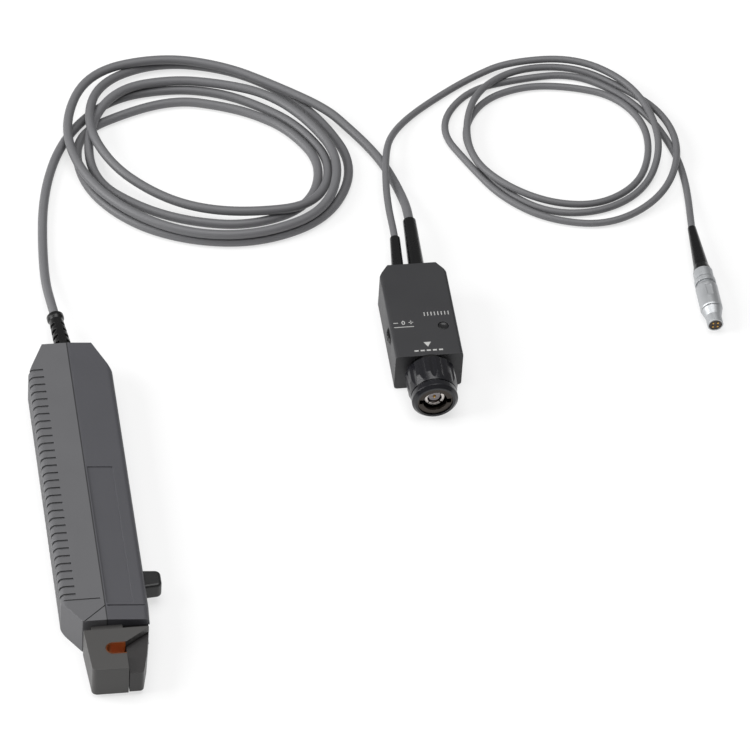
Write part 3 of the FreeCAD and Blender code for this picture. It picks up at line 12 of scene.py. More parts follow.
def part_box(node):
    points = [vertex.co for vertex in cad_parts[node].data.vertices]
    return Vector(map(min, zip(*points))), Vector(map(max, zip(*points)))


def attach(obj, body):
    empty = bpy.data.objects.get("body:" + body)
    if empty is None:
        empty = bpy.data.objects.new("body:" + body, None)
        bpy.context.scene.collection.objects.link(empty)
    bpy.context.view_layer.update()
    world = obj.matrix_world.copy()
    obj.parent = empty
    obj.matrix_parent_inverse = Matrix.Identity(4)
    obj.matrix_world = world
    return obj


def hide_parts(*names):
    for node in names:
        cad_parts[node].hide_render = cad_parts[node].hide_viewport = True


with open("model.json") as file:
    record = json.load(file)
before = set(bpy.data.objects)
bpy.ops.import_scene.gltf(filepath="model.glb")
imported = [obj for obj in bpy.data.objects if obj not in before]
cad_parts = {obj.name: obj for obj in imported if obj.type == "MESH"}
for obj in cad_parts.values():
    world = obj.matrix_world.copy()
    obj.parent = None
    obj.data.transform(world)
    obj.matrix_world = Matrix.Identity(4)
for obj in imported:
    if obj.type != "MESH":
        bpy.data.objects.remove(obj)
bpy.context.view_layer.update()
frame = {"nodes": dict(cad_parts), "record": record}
NODES = frame["nodes"]
MM = 0.001

# ---------------------------------------------------------------- the view

CAMERA_TARGET = Vector((0.12477, 0.07482, 0.0))
CAMERA_DISTANCE = 2.6396
CAMERA_ELEVATION = radians(45.69)
CAMERA_HEADING = radians(10.67)
CAMERA_ROLL = radians(-3.84)
CAMERA_LENS = 312.0


def camera():
    """Looks down the length of the bench at the whole part."""
    level = cos(CAMERA_ELEVATION)
    ahead = Vector((sin(CAMERA_HEADING) * level, cos(CAMERA_HEADING) * level,
                    -sin(CAMERA_ELEVATION)))
    right = Vector((cos(CAMERA_HEADING), -sin(CAMERA_HEADING), 0.0))
    up = right.cross(ahead)
    across = cos(CAMERA_ROLL) * right - sin(CAMERA_ROLL) * up
    along = sin(CAMERA_ROLL) * right + cos(CAMERA_ROLL) * up
    data = bpy.data.cameras.new("bench_camera")
    data.sensor_width = 36.0
    data.lens = CAMERA_LENS
    data.clip_start, data.clip_end = 0.05, 50.0
    eye = bpy.data.objects.new("bench_camera", data)
    place = Matrix((across, along, -ahead)).transposed().to_4x4()
    place.translation = CAMERA_TARGET - ahead * CAMERA_DISTANCE
    eye.matrix_world = place
    bpy.context.scene.collection.objects.link(eye)
    bpy.context.scene.camera = eye


# ---------------------------------------------------------------- the cables

SENSOR_CABLE, POWER_CABLE = 3.9, 3.0     # their widths in mm

# From the head's strain relief to the coil, in mm
SENSOR_LEAD = (
    (-2.1, 112.0, 8.8), (-2.9, 122.0, 7.6), (-3.3, 134.0, 4.4), (-2.9, 147.0, 2.4),
    (-1.8, 163.0, 2.0), (0.2, 181.0, 2.0), (4.2, 199.0, 2.0), (10.6, 216.0, 2.0),
    (20.5, 231.0, 2.0),
)
# From the box's wide boot back to the coil
SENSOR_TAIL = (
    (149.6, 153.0, 8.7), (150.0, 162.0, 7.2), (149.5, 172.5, 4.0), (148.0, 183.0, 2.4),
    (144.8, 195.0, 2.1), (139.8, 206.2, 2.1), (133.0, 216.6, 3.2), (124.6, 226.6, 5.8),
)
# From the box's slim boot to its coil
POWER_LEAD = (
    (142.2, 143.4, 8.7), (142.4, 151.5, 8.2), (142.4, 162.5, 7.0), (143.3, 178.0, 6.4),
    (146.3, 199.0, 6.2), (151.2, 212.0, 3.0), (160.0, 223.0, 1.6), (174.0, 234.0, 1.55),
    (189.5, 244.0, 1.9), (206.0, 250.5, 3.6),
)
# From that coil to the round plug
POWER_TAIL = (
    (267.0, 197.0, 1.6), (269.3, 185.5, 1.6), (269.8, 172.5, 1.6), (269.0, 160.5, 2.2),
    (267.8, 150.6, 4.0), (267.0, 142.4, 4.7),
)

# The coils: each turn wanders round one tilted oval. A row is a turn, a number every
# 30 degrees clockwise, in mm outside the oval; the second table counts the strands below.
COIL_STEP = 30
SENSOR_OVAL = dict(centre=(73.0, 209.5), long=56.0, short=43.0, tilt=-42, start=135)
SENSOR_WANDER = (
    -7, -12, -10.5, -9, -5.5, -1, -1, -7.8, -6.8, -5.8, -3, -1.5,
    2, 5, 4.5, 4, 4.5, 8, 6, 6, 8.5, 11, 10, 3,
    -18, -19.5, -18, -14.5, -10.5, -5.5, -4.2, -4.4, -2.4, 1, 5, -2,
    -7, -10, -8.5, -4.8, -3, 2, 5, 5.4, 8.5, 9.5, 9.5, 8,
    8, 3, 1.8, 1.5,
)
SENSOR_LAYER = (
    0, 0, 0, 0, 0, 0, 0.8, 1.1, 1, 1, 1.6, 1.8,
    0.8, 0, 0, 0, 0, 0, 0, 0, 0, 0, 0, 0,
    0, 0, 0, 0, 0, 0, 0, 0, 0, 0, 0, 0.95,
    1.2, 0.9, 0.9, 1.1, 1.1, 1.1, 1, 1, 1, 1, 1.1, 1.1,
    1.3, 1.2, 1, 1,
)
POWER_OVAL = dict(centre=(221.5, 201.0), long=44.5, short=41.0, tilt=-45, start=75)
POWER_WANDER = (
    7, 4, -0.8, -2.6, -2, -0.8, 0, -2.8, -4.5, -2.5, -4.2, -7,
    -7.5, -4, -4.5, -6.9, -5.9, -5, -4.5, -3.4, -2.2, -3.5, -1, 2.5,
    5, 2.5, 4.6, 5.5, 7, 7.5, 4, 0.3, -1.5, 7.6, 4.4, -2.5,
    0.5, -1, -0.8,
)
POWER_LAYER = (
    1.1, 1.1, 1.1, 0.8, 0, 0, 0, 0, 0, 0, 0, 0,
    0, 0, 0, 0, 0, 0, 0.5, 1.1, 1.1, 1.1, 1.2, 0.5,
    0, 0, 0.5, 1.1, 0.6, 0, 0, 0, 0, 0, 0, 0,
    0, 0, 0,
)
CUTTING_IN = 1.03      # the spline runs inside its points by this share
FLOOR_STRAND = 0.52    # height of the lowest strand's middle, in cable widths
NEXT_STRAND = 1.02     # and of each strand above another


def coil_turns(oval, wander, layer, across):
    """The points of a coil's loose turns, in mm."""
    points = []
    for count, (outside, below) in enumerate(zip(wander, layer)):
        turn = radians(oval["start"] - COIL_STEP * count)
        from_tilt = turn - radians(oval["tilt"])
        reach = 1 / sqrt((cos(from_tilt) / oval["long"]) ** 2
                         + (sin(from_tilt) / oval["short"]) ** 2)
        reach = (reach + outside) * CUTTING_IN
        points.append((oval["centre"][0] + reach * cos(turn),
                       oval["centre"][1] + reach * sin(turn),
                       across * (FLOOR_STRAND + NEXT_STRAND * below)))
    return points


def cable(name, route, across, material):
    """One round cable on a smooth spline through its route's points."""
    curve = bpy.data.curves.new(name, "CURVE")
    curve.dimensions = "3D"
    curve.bevel_depth = across / 2 * MM
    curve.bevel_resolution = 5
    curve.resolution_u = 10
    curve.use_fill_caps = True
    spline = curve.splines.new("NURBS")
    spline.points.add(len(route) - 1)
    for point, place in zip(spline.points, route):
        point.co = (place[0] * MM, place[1] * MM, place[2] * MM, 1.0)
    spline.order_u = 3
    spline.use_endpoint_u = True
    curve.materials.append(material)
    piece = bpy.data.objects.new(name, curve)
    bpy.context.scene.collection.objects.link(piece)
    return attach(piece, "probe_body")


# ---------------------------------------------------------------- finishes

SCREEN_CURVE = 2.2


def screen(red, green, blue):
    """A colour given as a screen shows it, 0 to 255, in the shader's own numbers."""
    return tuple((part / 255) ** SCREEN_CURVE for part in (red, green, blue)) + (1.0,)


def new_group(name, inputs, outputs):
    """An empty group of shader nodes with its sockets; returns its tree and both ends."""
    tree = bpy.data.node_groups.new(name, "ShaderNodeTree")
    for way, sockets in (("INPUT", inputs), ("OUTPUT", outputs)):
        for label, kind in sockets:
            tree.interface.new_socket(label, in_out=way, socket_type="NodeSocket" + kind)
    return tree, tree.nodes.new("NodeGroupInput"), tree.nodes.new("NodeGroupOutput")


def join(tree, source, target):
    """Links one socket to another."""
    tree.links.new(source, target)


def math(tree, operation, first, second=None, third=None):
    """A Math node; each value is a number or a socket."""
    node = tree.nodes.new("ShaderNodeMath")
    node.operation = operation
    for socket, value in zip(node.inputs, (first, second, third)):
        if value is None:
            continue
        if isinstance(value, bpy.types.NodeSocket):
            join(tree, value, socket)
        else:
            socket.default_value = value
    return node.outputs[0]


def noise(tree, place, scale, detail=2.0):
    """Noise about 0: its value less a half."""
    node = tree.nodes.new("ShaderNodeTexNoise")
    join(tree, place, node.inputs["Vector"])
    if isinstance(scale, bpy.types.NodeSocket):
        join(tree, scale, node.inputs["Scale"])
    else:
        node.inputs["Scale"].default_value = scale
    node.inputs["Detail"].default_value = detail
    return math(tree, "SUBTRACT", node.outputs["Fac"], 0.5)


def brightened(tree, colour, share):
    """The colour with its value multiplied by a share."""
    node = tree.nodes.new("ShaderNodeHueSaturation")
    join(tree, colour, node.inputs["Color"])
    join(tree, share, node.inputs["Value"])
    return node.outputs["Color"]


SURFACE_INPUTS = (("Place", "Vector"), ("Colour", "Color"), ("Mottle", "Float"),
                  ("Grain", "Float"), ("Roughness", "Float"), ("Spread", "Float"))
SURFACE_OUTPUTS = (("Colour", "Color"), ("Roughness", "Float"), ("Height", "Float"))
CLOUD = 0.055          # how often the broad mottling repeats, per mm


def surface_group(name, pattern):
    """A surface whose fine pattern gives its height and stirs its colour and roughness."""
    tree, way_in, way_out = new_group(name, SURFACE_INPUTS, SURFACE_OUTPUTS)
    place = way_in.outputs["Place"]
    fine = pattern(tree, place, math(tree, "DIVIDE", 1.0, way_in.outputs["Grain"]))
    cloud = noise(tree, place, CLOUD, 3.0)
    stir = math(tree, "ADD", fine, math(tree, "MULTIPLY", cloud, 2.0))
    share = math(tree, "MULTIPLY_ADD", stir, way_in.outputs["Mottle"], 1.0)
    join(tree, brightened(tree, way_in.outputs["Colour"], share), way_out.inputs["Colour"])
    rough = math(tree, "MULTIPLY_ADD", stir, way_in.outputs["Spread"],
                 way_in.outputs["Roughness"])
    join(tree, rough, way_out.inputs["Roughness"])
    join(tree, math(tree, "ADD", fine, 0.5), way_out.inputs["Height"])
    return tree


def spark_pattern(tree, place, scale):
    """The even pebbling that a spark-eroded mould leaves."""
    return noise(tree, place, scale, 2.5)


def turned_pattern(tree, place, scale):
    """Fine rings round the Y axis, as a lathe leaves them."""
    parts = tree.nodes.new("ShaderNodeSeparateXYZ")
    join(tree, place, parts.inputs[0])
    across = math(tree, "MULTIPLY", parts.outputs["X"], parts.outputs["X"])
    reach = math(tree, "SQRT", math(tree, "MULTIPLY_ADD", parts.outputs["Z"],
                                    parts.outputs["Z"], across))
    rings = tree.nodes.new("ShaderNodeCombineXYZ")
    join(tree, reach, rings.inputs["X"])
    join(tree, parts.outputs["Y"], rings.inputs["Y"])
    return noise(tree, rings.outputs[0], scale, 3.0)


SCRATCH_STRETCH = (1.0, 0.08, 1.0)


def scratched_pattern(tree, place, scale):
    """Hairline scratches along a piece."""
    stretch = tree.nodes.new("ShaderNodeVectorMath")
    stretch.operation = "MULTIPLY"
    join(tree, place, stretch.inputs[0])
    stretch.inputs[1].default_value = SCRATCH_STRETCH
    return noise(tree, stretch.outputs[0], scale, 4.0)


def banded(tree, place, scale, direction):
    """Soft bands across one direction."""
    bands = tree.nodes.new("ShaderNodeTexWave")
    bands.bands_direction = direction
    join(tree, place, bands.inputs["Vector"])
    join(tree, scale, bands.inputs["Scale"])
    bands.inputs["Distortion"].default_value = 0.3
    return bands.outputs["Fac"]


def woven_pattern(tree, place, scale):
    """Glass cloth under a board's lacquer."""
    weave = math(tree, "MULTIPLY", banded(tree, place, scale, "X"),
                 banded(tree, place, scale, "Y"))
    return math(tree, "SUBTRACT", weave, 0.5)


def wound_pattern(tree, place, scale):
    """Close turns of thin wire, one above the other."""
    return math(tree, "SUBTRACT", banded(tree, place, scale, "Z"), 0.5)


MOULDED = surface_group("spark_eroded", spark_pattern)
TURNED = surface_group("turned", turned_pattern)
SCRATCHED = surface_group("scratched", scratched_pattern)
WOVEN = surface_group("woven", woven_pattern)
WOUND = surface_group("wound", wound_pattern)


def masked_group(name, under, axis, start, end, share):
    """A surface whose colour falls to a share of itself beyond a place along an axis."""
    tree, way_in, way_out = new_group(name, SURFACE_INPUTS, SURFACE_OUTPUTS)
    skin = tree.nodes.new("ShaderNodeGroup")
    skin.node_tree = under
    for label, _ in SURFACE_INPUTS:
        join(tree, way_in.outputs[label], skin.inputs[label])
    parts = tree.nodes.new("ShaderNodeSeparateXYZ")
    join(tree, way_in.outputs["Place"], parts.inputs[0])
    fade = tree.nodes.new("ShaderNodeMapRange")
    fade.interpolation_type = "SMOOTHSTEP"
    join(tree, math(tree, "ABSOLUTE", parts.outputs[axis]), fade.inputs["Value"])
    for label, value in (("From Min", start), ("From Max", end), ("To Min", 1.0),
                         ("To Max", share)):
        fade.inputs[label].default_value = value
    join(tree, brightened(tree, skin.outputs["Colour"], fade.outputs[0]),
         way_out.inputs["Colour"])
    for label in ("Roughness", "Height"):
        join(tree, skin.outputs[label], way_out.inputs[label])
    return tree


# Painted shade: a dark line along the shells' parting plane, x = 0, for the shade in the gap
SEAM, SEAM_CORE, SEAM_SHADE = 0.3, 0.18, 0.25
SHADED_SEAM = masked_group("shaded_seam", MOULDED, "X", SEAM, SEAM_CORE, SEAM_SHADE)
# Painted shade: the liner's cut rim is darkened beside its bright inner face
LINER_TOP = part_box("aperture_liner")[1][2] / MM
RIM_START, RIM_END, RIM_SHADE = LINER_TOP - 0.25, LINER_TOP - 0.05, 0.2
SCRATCHED_SHADED_RIM = masked_group("scratched_shaded_rim", SCRATCHED, "Z", RIM_START, RIM_END, RIM_SHADE)
EDGE_WIDTH = 0.35 * MM
EDGE_STEEPNESS = 8.0
WEAR_PATCHES, WEAR_BASE = 0.5, 0.9     # patches per mm, and the wear between them


def edge_group():
    """Rounds the look of sharp edges and lightens them where hands rub."""
    tree, way_in, way_out = new_group(
        "rubbed_edges", (("Place", "Vector"), ("Colour", "Color"), ("Rubbed", "Float")),
        (("Colour", "Color"), ("Normal", "Vector")))
    rounding = tree.nodes.new("ShaderNodeBevel")
    rounding.samples = 6
    rounding.inputs["Radius"].default_value = EDGE_WIDTH
    facing = tree.nodes.new("ShaderNodeNewGeometry")
    along = tree.nodes.new("ShaderNodeVectorMath")
    along.operation = "DOT_PRODUCT"
    join(tree, rounding.outputs["Normal"], along.inputs[0])
    join(tree, facing.outputs["Normal"], along.inputs[1])
    turned_away = math(tree, "SUBTRACT", 1.0, along.outputs["Value"])
    edge = math(tree, "MINIMUM", math(tree, "MULTIPLY", turned_away, EDGE_STEEPNESS), 1.0)
    patches = noise(tree, way_in.outputs["Place"], WEAR_PATCHES, 3.0)
    broken = math(tree, "ADD", patches, WEAR_BASE)
    worn = math(tree, "MULTIPLY", math(tree, "MULTIPLY", edge, broken),
                way_in.outputs["Rubbed"])
    share = math(tree, "ADD", worn, 1.0)
    join(tree, brightened(tree, way_in.outputs["Colour"], share), way_out.inputs["Colour"])
    join(tree, rounding.outputs["Normal"], way_out.inputs["Normal"])
    return tree


RUBBED_EDGES = edge_group()


def finish(name, surface, colour, grain=0.35, depth=0.02, mottle=0.05, roughness=0.5,
           spread=0.12, metallic=0.0, rubbed=0.0, centre=(0.0, 0.0, 0.0)):
    """A material: the surface's colour, roughness and height in mm, and its edges."""
    material = bpy.data.materials.new(name)
    material.use_nodes = True
    tree = material.node_tree
    shader = tree.nodes["Principled BSDF"]
    shader.inputs["Metallic"].default_value = metallic
    where = tree.nodes.new("ShaderNodeTexCoord")
    place = tree.nodes.new("ShaderNodeMapping")
    place.inputs["Location"].default_value = [-part for part in centre]
    place.inputs["Scale"].default_value = (1 / MM, 1 / MM, 1 / MM)
    join(tree, where.outputs["Object"], place.inputs["Vector"])
    skin = tree.nodes.new("ShaderNodeGroup")
    skin.node_tree = surface
    join(tree, place.outputs[0], skin.inputs["Place"])
    for label, value in (("Colour", colour), ("Mottle", mottle), ("Grain", grain),
                         ("Roughness", roughness), ("Spread", spread)):
        skin.inputs[label].default_value = value
    edges = tree.nodes.new("ShaderNodeGroup")
    edges.node_tree = RUBBED_EDGES
    join(tree, place.outputs[0], edges.inputs["Place"])
    join(tree, skin.outputs["Colour"], edges.inputs["Colour"])
    edges.inputs["Rubbed"].default_value = rubbed
    relief = tree.nodes.new("ShaderNodeBump")
    relief.inputs["Distance"].default_value = depth * MM
    join(tree, skin.outputs["Height"], relief.inputs["Height"])
    join(tree, edges.outputs["Normal"], relief.inputs["Normal"])
    join(tree, edges.outputs["Colour"], shader.inputs["Base Color"])
    join(tree, skin.outputs["Roughness"], shader.inputs["Roughness"])
    join(tree, relief.outputs["Normal"], shader.inputs["Normal"])
    return material


def axis_of(node):
    """The middle of a turned node, in mm."""
    low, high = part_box(node)
    return [(a + b) / 2 / MM for a, b in zip(low, high)]


BNC_AXIS, PLUG_AXIS = axis_of("bnc_grip"), axis_of("plug_body")
SLOTS = dict(
    shell_grey=finish("shell_grey", SHADED_SEAM, screen(86, 86, 88), rubbed=0.25),
    # shell_slate is the same plastic as shell_grey; its darker colour paints the shade on the
    # half of the head's top that slopes away from the light
    shell_slate=finish("shell_slate", SHADED_SEAM, screen(68, 68, 72), rubbed=0.25),
    jaw_plastic=finish("jaw_plastic", MOULDED, screen(61, 60, 59), grain=0.25, depth=0.01,
                       roughness=0.45, rubbed=0.3),
    # The slider's plastic is darker than the jaw's, and its colour is taken lower still to
    # paint the shade on its slanted top
    slider_plastic=finish("slider_plastic", MOULDED, screen(38, 36, 36), grain=0.25,
                          depth=0.01, roughness=0.42, rubbed=0.3),
    black_plastic=finish("black_plastic", MOULDED, screen(14, 14, 15), grain=0.3,
                         roughness=0.38, rubbed=0.5),
    button_black=finish("button_black", MOULDED, screen(26, 26, 27), grain=0.2, depth=0.01,
                        roughness=0.3, rubbed=0.5),
    black_rubber=finish("black_rubber", MOULDED, screen(14, 14, 15), grain=0.3, depth=0.008,
                        roughness=0.28, rubbed=0.4),
    box_grey=finish("box_grey", MOULDED, screen(44, 44, 46), grain=0.4, rubbed=0.35),
    grip_plastic=finish("grip_plastic", MOULDED, screen(24, 24, 28), grain=0.3, depth=0.01,
                        roughness=0.24, spread=0.08, rubbed=0.5),
    cable_grey=finish("cable_grey", MOULDED, screen(99, 99, 101), grain=0.5, depth=0.012,
                      mottle=0.07, roughness=0.5),
    # the liner's copper, with painted shade darkening its cut rim
    copper=finish("copper", SCRATCHED_SHADED_RIM, screen(202, 116, 60), grain=0.2, depth=0.004,
                  mottle=0.3, roughness=0.4, spread=0.3, metallic=0.6),
    nickel=finish("nickel", TURNED, screen(205, 200, 196), grain=0.12, depth=0.004,
                  roughness=0.3, metallic=1.0, centre=BNC_AXIS),
    satin_chrome=finish("satin_chrome", TURNED, screen(186, 188, 190), grain=0.15,
                        depth=0.004, roughness=0.52, metallic=1.0, centre=PLUG_AXIS),
    gold=finish("gold", TURNED, screen(214, 166, 84), grain=0.1, depth=0.002,
                roughness=0.28, metallic=1.0, centre=PLUG_AXIS),
    steel=finish("steel", SCRATCHED, screen(150, 150, 152), grain=0.15, depth=0.004,
                 mottle=0.2, roughness=0.38, metallic=1.0),
    ferrite=finish("ferrite", MOULDED, screen(58, 58, 60), grain=0.12, depth=0.015,
                   mottle=0.15, roughness=0.55),
    winding_wire=finish("winding_wire", WOUND, screen(170, 84, 38), grain=1.0, depth=0.1,
                        mottle=0.3, roughness=0.35, metallic=0.6),
    chip_epoxy=finish("chip_epoxy", MOULDED, screen(34, 34, 35), grain=0.08, roughness=0.5),
    board_green=finish("board_green", WOVEN, screen(24, 84, 44), grain=1.5, depth=0.01,
                       mottle=0.12, roughness=0.3),
    pot_blue=finish("pot_blue", MOULDED, screen(38, 66, 140), grain=0.3, roughness=0.4),
    white_ptfe=finish("white_ptfe", MOULDED, screen(214, 213, 208), grain=0.3, depth=0.006,
                      roughness=0.4),
    insert_brown=finish("insert_brown", MOULDED, screen(52, 38, 28), grain=0.2, depth=0.01,
                        roughness=0.35),
)
DARK_NICKEL = finish("dark_nickel", TURNED, screen(66, 62, 59), grain=0.15, depth=0.006,
                     roughness=0.24, metallic=1.0, centre=BNC_AXIS)
GREY_INSULATOR = finish("grey_insulator", TURNED, screen(150, 144, 146), grain=0.2,
                        depth=0.006, roughness=0.4, centre=BNC_AXIS)
OWN_FINISH = dict(bnc_bayonet=DARK_NICKEL, bnc_dielectric=GREY_INSULATOR)
MARKING_WHITE = finish("marking_white", MOULDED, screen(176, 176, 174), grain=0.2,
                       depth=0.004, mottle=0.12, roughness=0.5)


def dress_nodes():
    """Gives every carried-over node its slot's finish, or its own."""
    for part in frame["record"]["subparts"]:
        body = NODES[part["node"]]
        body.data.materials.clear()
        body.data.materials.append(OWN_FINISH.get(part["node"], SLOTS[part["material_slot"]]))


# ---------------------------------------------------------------- marks on the box

INK = 0.03                # thickness of the print
BAR_WIDTH = 0.42
RING_STEPS = 28
BOX_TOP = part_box("box_top_shell")[1][2] / MM


def bar(work, x, y, across, along, turn=0.0):
    """A flat bar on the box's top, its middle at x, y in mm."""
    shape = (Matrix.Translation((x, y, BOX_TOP)) @ Matrix.Rotation(turn, 4, "Z")
             @ Matrix.Diagonal((across, along, 1.0, 1.0)))
    bmesh.ops.create_grid(work, x_segments=1, y_segments=1, size=0.5, matrix=shape)


def ring(work, x, y, across, along, width):
    """A flat oval ring on the box's top."""
    shape = (Matrix.Translation((x, y, BOX_TOP))
             @ Matrix.Diagonal((across / 2, along / 2, 1.0, 1.0)))
    made = bmesh.ops.create_circle(work, cap_ends=True, segments=RING_STEPS, radius=1.0,
                                   matrix=shape)
    face = made["verts"][0].link_faces[0]
    bmesh.ops.inset_individual(work, faces=[face], thickness=width)
    bmesh.ops.delete(work, geom=[face], context="FACES_ONLY")


def arrowhead(work, x, y, size):
    """A small solid triangle that points at the plug."""
    shape = Matrix.Translation((x, y, BOX_TOP)) @ Matrix.Rotation(pi, 4, "Z")
    bmesh.ops.create_circle(work, cap_ends=True, segments=3, radius=size, matrix=shape)


def printed(name, work):
    """Thickens flat shapes upwards into a print on the box."""
    made = bmesh.ops.extrude_face_region(work, geom=work.faces[:])
    top = [part for part in made["geom"] if isinstance(part, bmesh.types.BMVert)]
    bmesh.ops.translate(work, vec=(0, 0, INK), verts=top)
    bmesh.ops.recalc_face_normals(work, faces=work.faces[:])
    bmesh.ops.scale(work, vec=(MM, MM, MM), verts=work.verts[:])
    mesh = bpy.data.meshes.new(name)
    work.to_mesh(mesh)
    work.free()
    mesh.materials.append(MARKING_WHITE)
    piece = bpy.data.objects.new(name, mesh)
    bpy.context.scene.collection.objects.link(piece)
    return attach(piece, "probe_body")


# Minus, nought and plus, measured from the wheel's inner edge, over a line
SIGN_PITCH, SIGN_SPAN = 3.1, 1.9
SIGN_PLACE, SIGN_LINE_DROP = (-4.4, 1.6), 2.4
NOUGHT = (1.5, 2.2)
# A row of ticks, measured from the back of the button
TICKS, TICK_PITCH, TICK_LENGTH = 8, 1.4, 2.1
TICK_PLACE = (-1.9, 4.4)
# An arrowhead and a row of dashes, measured from the box's front
ARROW_SIZE, ARROW_DEPTH = 1.8, 6.6
DASHES, DASH_PITCH, DASH_LENGTH, DASH_DEPTH = 5, 2.5, 1.7, 2.8


def adjuster_marks():
    """Minus, nought and plus over a line, beside the thumbwheel."""
    low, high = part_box("zero_wheel")
    x = high[0] / MM + SIGN_PLACE[0]
    y = (low[1] + high[1]) / 2 / MM + SIGN_PLACE[1]
    work = bmesh.new()
    bar(work, x - SIGN_PITCH, y, SIGN_SPAN, BAR_WIDTH)
    ring(work, x, y, *NOUGHT, BAR_WIDTH)
    bar(work, x + SIGN_PITCH, y, SIGN_SPAN, BAR_WIDTH)
    bar(work, x + SIGN_PITCH, y, BAR_WIDTH, SIGN_SPAN)
    bar(work, x, y - SIGN_LINE_DROP, 2 * SIGN_PITCH + SIGN_SPAN, BAR_WIDTH)
    return printed("adjuster_marks", work)


def button_scale():
    """A row of ticks behind the button."""
    low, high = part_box("demag_button")
    x = (low[0] + high[0]) / 2 / MM + TICK_PLACE[0]
    y = high[1] / MM + TICK_PLACE[1]
    work = bmesh.new()
    for count in range(TICKS):
        bar(work, x + TICK_PITCH * (count - (TICKS - 1) / 2), y, BAR_WIDTH, TICK_LENGTH)
    return printed("button_scale", work)


def plug_marks():
    """An arrowhead towards the plug, and a row of dashes."""
    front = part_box("box_top_shell")[0][1] / MM
    x = BNC_AXIS[0]
    work = bmesh.new()
    arrowhead(work, x, front + ARROW_DEPTH, ARROW_SIZE)
    for count in range(DASHES):
        bar(work, x + DASH_PITCH * (count - (DASHES - 1) / 2), front + DASH_DEPTH,
            DASH_LENGTH, 2 * BAR_WIDTH)
    return printed("plug_marks", work)


# ---------------------------------------------------------------- turned pieces

TURNED_STEPS = 48
MERGE_REACH = 0.001 * MM


def turned(name, profile, middle, axis, slot, body):
    """A ring or cap: its profile, (radius, depth) in mm, spun about an axis."""
    work = bmesh.new()
    side = Vector((1, 0, 0))
    corners = [work.verts.new((Vector(middle) + side * reach + Vector(axis) * depth) * MM)
               for reach, depth in profile]
    edges = [work.edges.new(pair) for pair in zip(corners, corners[1:])]
    bmesh.ops.spin(work, geom=corners + edges, cent=Vector(middle) * MM, axis=axis,
                   angle=2 * pi, steps=TURNED_STEPS, use_merge=True)
    bmesh.ops.remove_doubles(work, verts=work.verts[:], dist=MERGE_REACH)
    bmesh.ops.recalc_face_normals(work, faces=work.faces[:])
    mesh = bpy.data.meshes.new(name)
    work.to_mesh(mesh)
    work.free()
    mesh.shade_smooth()
    mesh.materials.append(SLOTS[slot])
    piece = bpy.data.objects.new(name, mesh)
    bpy.context.scene.collection.objects.link(piece)
    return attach(piece, body)


WASHER_INNER, WASHER_OUTER, WASHER_CHAMFER = 7.0, 8.4, 0.3
WASHER_GAP = 0.08      # behind the turning grip


def plug_washer():
    """Black rubber washer over the fixed collar behind the bayonet grip."""
    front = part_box("bnc_grip")[1][1] / MM + WASHER_GAP
    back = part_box("box_top_shell")[0][1] / MM
    profile = ((WASHER_INNER, front), (WASHER_OUTER - WASHER_CHAMFER, front),
               (WASHER_OUTER, front + WASHER_CHAMFER), (WASHER_OUTER, back),
               (WASHER_INNER, back), (WASHER_INNER, front))
    middle = (BNC_AXIS[0], 0.0, BNC_AXIS[2])
    return turned("plug_washer", profile, middle, (0, 1, 0), "black_rubber", "probe_body")


# From the middle of the dish over its rim and down the side, about the button's top
CAP_PROFILE = ((0.0, 0.02), (0.7, 0.05), (1.3, 0.16), (1.75, 0.36), (1.95, 0.38),
               (2.05, 0.3), (2.05, -0.1), (0.0, -0.1))


def button_cap():
    """Dished gloss cap on the button."""
    low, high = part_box("demag_button")
    middle = ((low[0] + high[0]) / 2 / MM, (low[1] + high[1]) / 2 / MM, high[2] / MM)
    return turned("button_cap", CAP_PROFILE, middle, (0, 0, 1), "button_black", "demag_key")


# ---------------------------------------------------------------- the bench

BENCH_REACH = 3.0
BENCH_DROP = 0.2 * MM
BENCH_WHITE = (0.95, 0.95, 0.95, 1.0)
BENCH_GLOW = 0.65         # share of its own light in what the eye sees of it


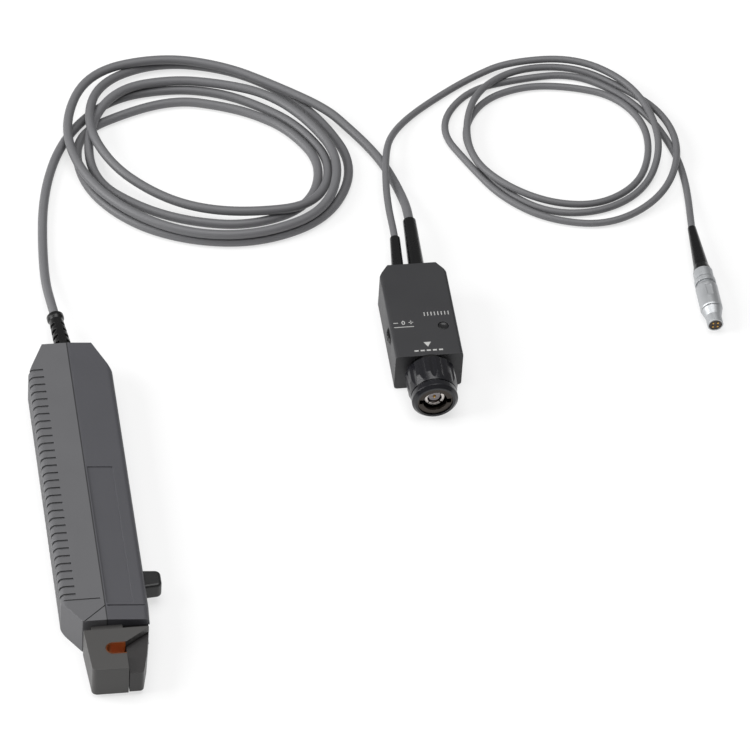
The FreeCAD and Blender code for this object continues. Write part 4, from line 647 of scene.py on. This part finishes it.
def bench():
    """A plain white bench that keeps a light shadow."""
    mesh = bpy.data.meshes.new("bench")
    work = bmesh.new()
    bmesh.ops.create_grid(work, x_segments=1, y_segments=1, size=BENCH_REACH)
    work.to_mesh(mesh)
    work.free()
    top = bpy.data.objects.new("bench", mesh)
    top.location.z = -BENCH_DROP
    bpy.context.scene.collection.objects.link(top)
    material = bpy.data.materials.new("bench_white")
    material.use_nodes = True
    tree = material.node_tree
    tree.nodes.clear()
    matt = tree.nodes.new("ShaderNodeBsdfDiffuse")
    matt.inputs["Color"].default_value = BENCH_WHITE
    glow = tree.nodes.new("ShaderNodeEmission")
    rays = tree.nodes.new("ShaderNodeLightPath")
    seen = math(tree, "MAXIMUM", rays.outputs["Is Camera Ray"], rays.outputs["Is Glossy Ray"])
    seen = math(tree, "MAXIMUM", seen, rays.outputs["Is Transmission Ray"])
    blend = tree.nodes.new("ShaderNodeMixShader")
    join(tree, math(tree, "MULTIPLY", seen, BENCH_GLOW), blend.inputs["Fac"])
    join(tree, matt.outputs[0], blend.inputs[1])
    join(tree, glow.outputs[0], blend.inputs[2])
    end = tree.nodes.new("ShaderNodeOutputMaterial")
    join(tree, blend.outputs[0], end.inputs["Surface"])
    mesh.materials.append(material)


def lamp(name, place, size, power):
    """A square area lamp that faces the part; metres and watts."""
    data = bpy.data.lights.new(name, "AREA")
    data.size = size
    data.energy = power
    piece = bpy.data.objects.new(name, data)
    piece.location = place
    aim = CAMERA_TARGET - Vector(place)
    piece.rotation_euler = aim.to_track_quat("-Z", "Y").to_euler()
    bpy.context.scene.collection.objects.link(piece)


ROOM_LIGHT = 0.27


def lights():
    """A broad key from the left, a soft top light, and a pale room."""
    lamp("key_lamp", (-1.2, 0.15, 0.75), 1.0, 21)
    lamp("top_lamp", (0.15, 0.1, 1.6), 1.4, 19)
    world = bpy.data.worlds.new("studio")
    bpy.context.scene.world = world
    world.use_nodes = True
    world.node_tree.nodes["Background"].inputs["Color"].default_value = (1, 1, 1, 1)
    world.node_tree.nodes["Background"].inputs["Strength"].default_value = ROOM_LIGHT


# ---------------------------------------------------------------- making

camera()

sensor_route = (SENSOR_LEAD + tuple(coil_turns(SENSOR_OVAL, SENSOR_WANDER, SENSOR_LAYER,
                                               SENSOR_CABLE)) + SENSOR_TAIL[::-1])
sensor = cable("sensor_cable", sensor_route, SENSOR_CABLE, SLOTS["cable_grey"])
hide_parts("sensor_lead", "sensor_coil", "sensor_tail")

power_route = (POWER_LEAD + tuple(coil_turns(POWER_OVAL, POWER_WANDER, POWER_LAYER,
                                             POWER_CABLE)) + POWER_TAIL)
power = cable("power_cable", power_route, POWER_CABLE, SLOTS["cable_grey"])
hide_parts("power_lead", "power_coil", "power_tail")

dress_nodes()
adjuster_marks()
button_scale()
plug_marks()
plug_washer()
button_cap()
bench()
lights()

bpy.context.scene.view_settings.view_transform = "Standard"
